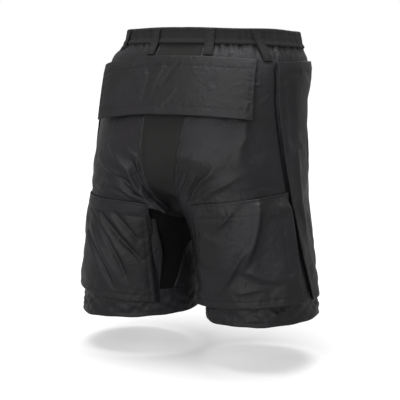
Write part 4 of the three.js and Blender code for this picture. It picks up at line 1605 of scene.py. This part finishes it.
class HOCKEYPANTS_OT_leg_hems(bpy.types.Operator):
    """Makes the hem bands round the bottoms of the legs."""

    bl_idname = "hockey_pants.leg_hems"
    bl_label = "Leg Hems"

    STITCH_ROWS = (0.21, 0.87)
    # Crinkles: height, count round the leg and slant down the hem, with smaller ones in patches
    CRINKLES = ((1.0, 5, 9), (0.8, 11, -13), (0.7, 19, 16))
    SMALL_CRINKLES = (0.6, 37, -11)
    PATCHES = (3, 1)
    CRINKLE_SHARE = 1.27
    # Waves of the lower edge: height, count and shift
    EDGE_WAVES = ((0.6, 3, 1), (0.5, 7, 0), (0.4, 13, 0))
    # Heights beside the top seam over which the hem steps in under the panels
    TUCK_START = (HEM_TOP - 2, HEM_TOP + 1)
    # Where the right hem is drawn in: angle, spread and shares of the height
    DRAWN_AT = 152
    DRAWN_SPREAD = 34
    DRAWN_FROM = (-0.2, 0.4)
    # How far the left hem's edge rises away from the back of the leg: height, angle and the angles beside it
    RISE = 4
    RISE_FROM = 105
    RISE_BESIDE = (35, 90)

    def execute(self, context):
        lines = ring_lines(self.STITCH_ROWS)
        for side, mirrored in SIDES:
            def surface(u, v):
                z = lerp(HEM_TOP + HEM_UNDERLAP, HEM_BOTTOM, v)
                turn = 2 * np.pi * u
                angle = np.mod(-360 * u, 360)
                slack = sum(height * np.sin(count * turn + slant * v) for height, count, slant in self.CRINKLES)
                height, count, slant = self.SMALL_CRINKLES
                patches, shift = self.PATCHES
                slack += height * np.sin(count * turn + slant * v) * np.sin(patches * turn + shift)
                spread = np.clip(self.CRINKLE_SHARE * v - (self.CRINKLE_SHARE - 1), 0, 1)
                off = slack * np.sin(np.pi * spread) + seam_relief("hem", u, v, lines)
                off = off - HEM_TUCK * smoothstep(z, *self.TUCK_START)
                edge = sum(height * np.sin(count * turn + shift) for height, count, shift in self.EDGE_WAVES)
                if side == "right":
                    drawn_in = hill(angle, self.DRAWN_AT, self.DRAWN_SPREAD) * smoothstep(v, *self.DRAWN_FROM)
                    off = off - HEM_DRAWN_IN * drawn_in
                else:
                    edge += self.RISE * smoothstep(np.abs(angle - self.RISE_FROM), *self.RISE_BESIDE)
                points = off_loop(z, -360 * u, off + fullness(z, angle, side))
                points[..., 2] += edge * v**2
                return points

            make_cloth(
                f"hem_cloth_{side}", f"leg_hem_{side}", surface, pants_sizes().panel_cloth / MM, "nylon", "hem",
                lines=lines, ring=True, mirrored=mirrored,
            )
        return {"FINISHED"}


class HOCKEYPANTS_OT_stitching(bpy.types.Operator):
    """Sews thread along the stitch lines of all the pieces."""

    bl_idname = "hockey_pants.stitching"
    bl_label = "Stitching"

    def execute(self, context):
        if not stitch_lines:
            raise RuntimeError("make the pieces before their stitching")
        sizes = pants_sizes()
        points = np.concatenate([line for line, _ in stitch_lines])
        normals = np.concatenate([normal for _, normal in stitch_lines])
        ends = np.cumsum([len(line) for line, _ in stitch_lines])
        starts = np.arange(len(points) - 1)
        starts = starts[~np.isin(starts + 1, ends)]
        guide = bpy.data.meshes.new("seam lines")
        guide.from_pydata(points.tolist(), np.stack([starts, starts + 1], -1).tolist(), [])
        attribute = guide.attributes.new("cloth_normal", "FLOAT_VECTOR", "POINT")
        attribute.data.foreach_set("vector", normals.reshape(-1))
        seams = bpy.data.objects.new("seam lines", guide)
        context.collection.objects.link(seams)

        modifier = seams.modifiers.new("Stitches", "NODES")
        modifier.node_group = stitch_tree()
        values = {
            "Spacing": sizes.stitch_spacing, "Length": sizes.stitch_length, "Width": sizes.thread_width,
            "Material": cloth_material("thread"),
        }
        for socket in modifier.node_group.interface.items_tree:
            if socket.in_out == "INPUT" and socket.name in values:
                modifier[socket.identifier] = values[socket.name]
        evaluated = seams.evaluated_get(context.evaluated_depsgraph_get())
        mesh = bpy.data.meshes.new_from_object(evaluated)
        bpy.data.objects.remove(seams)
        stitching = bpy.data.objects.new("stitching", mesh)
        context.collection.objects.link(stitching)
        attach(stitching, "root")
        return {"FINISHED"}


PIECE_OPERATORS = (
    HOCKEYPANTS_OT_waistband,
    HOCKEYPANTS_OT_belt_loops,
    HOCKEYPANTS_OT_gusset,
    HOCKEYPANTS_OT_seat_panels,
    HOCKEYPANTS_OT_front_panels,
    HOCKEYPANTS_OT_inside_legs,
    HOCKEYPANTS_OT_thigh_pockets,
    HOCKEYPANTS_OT_hip_pockets,
    HOCKEYPANTS_OT_back_pocket,
    HOCKEYPANTS_OT_leg_hems,
    HOCKEYPANTS_OT_stitching,
)


class HOCKEYPANTS_PT_panel(bpy.types.Panel):
    """Lists the pieces of the pants and their sizes and colours."""

    bl_idname = "HOCKEYPANTS_PT_panel"
    bl_label = "Hockey Pants"
    bl_space_type = "VIEW_3D"
    bl_region_type = "UI"
    bl_category = "Hockey Pants"

    def draw(self, context):
        layout = self.layout
        for settings in (context.scene.hockey_pants_sizes, context.scene.hockey_pants_colours):
            box = layout.box()
            for name in settings.__annotations__:
                box.prop(settings, name)
        for operator in (HOCKEYPANTS_OT_stage, *PIECE_OPERATORS):
            layout.operator(operator.bl_idname)


CLASSES = (
    HockeyPantsSizes, HockeyPantsColours, HOCKEYPANTS_OT_stage, *PIECE_OPERATORS, HOCKEYPANTS_PT_panel,
)


def register():
    for item in CLASSES:
        bpy.utils.register_class(item)
    bpy.types.Scene.hockey_pants_sizes = PointerProperty(type=HockeyPantsSizes)
    bpy.types.Scene.hockey_pants_colours = PointerProperty(type=HockeyPantsColours)


def unregister():
    del bpy.types.Scene.hockey_pants_colours
    del bpy.types.Scene.hockey_pants_sizes
    for item in reversed(CLASSES):
        bpy.utils.unregister_class(item)


def main():
    register()
    bpy.ops.hockey_pants.stage()
    bpy.ops.hockey_pants.waistband()
    bpy.ops.hockey_pants.belt_loops()
    bpy.ops.hockey_pants.gusset()
    bpy.ops.hockey_pants.seat_panels()
    bpy.ops.hockey_pants.front_panels()
    bpy.ops.hockey_pants.inside_legs()
    bpy.ops.hockey_pants.thigh_pockets()
    bpy.ops.hockey_pants.hip_pockets()
    bpy.ops.hockey_pants.back_pocket()
    bpy.ops.hockey_pants.leg_hems()
    bpy.ops.hockey_pants.stitching()


if __name__ == "__main__":
    main()
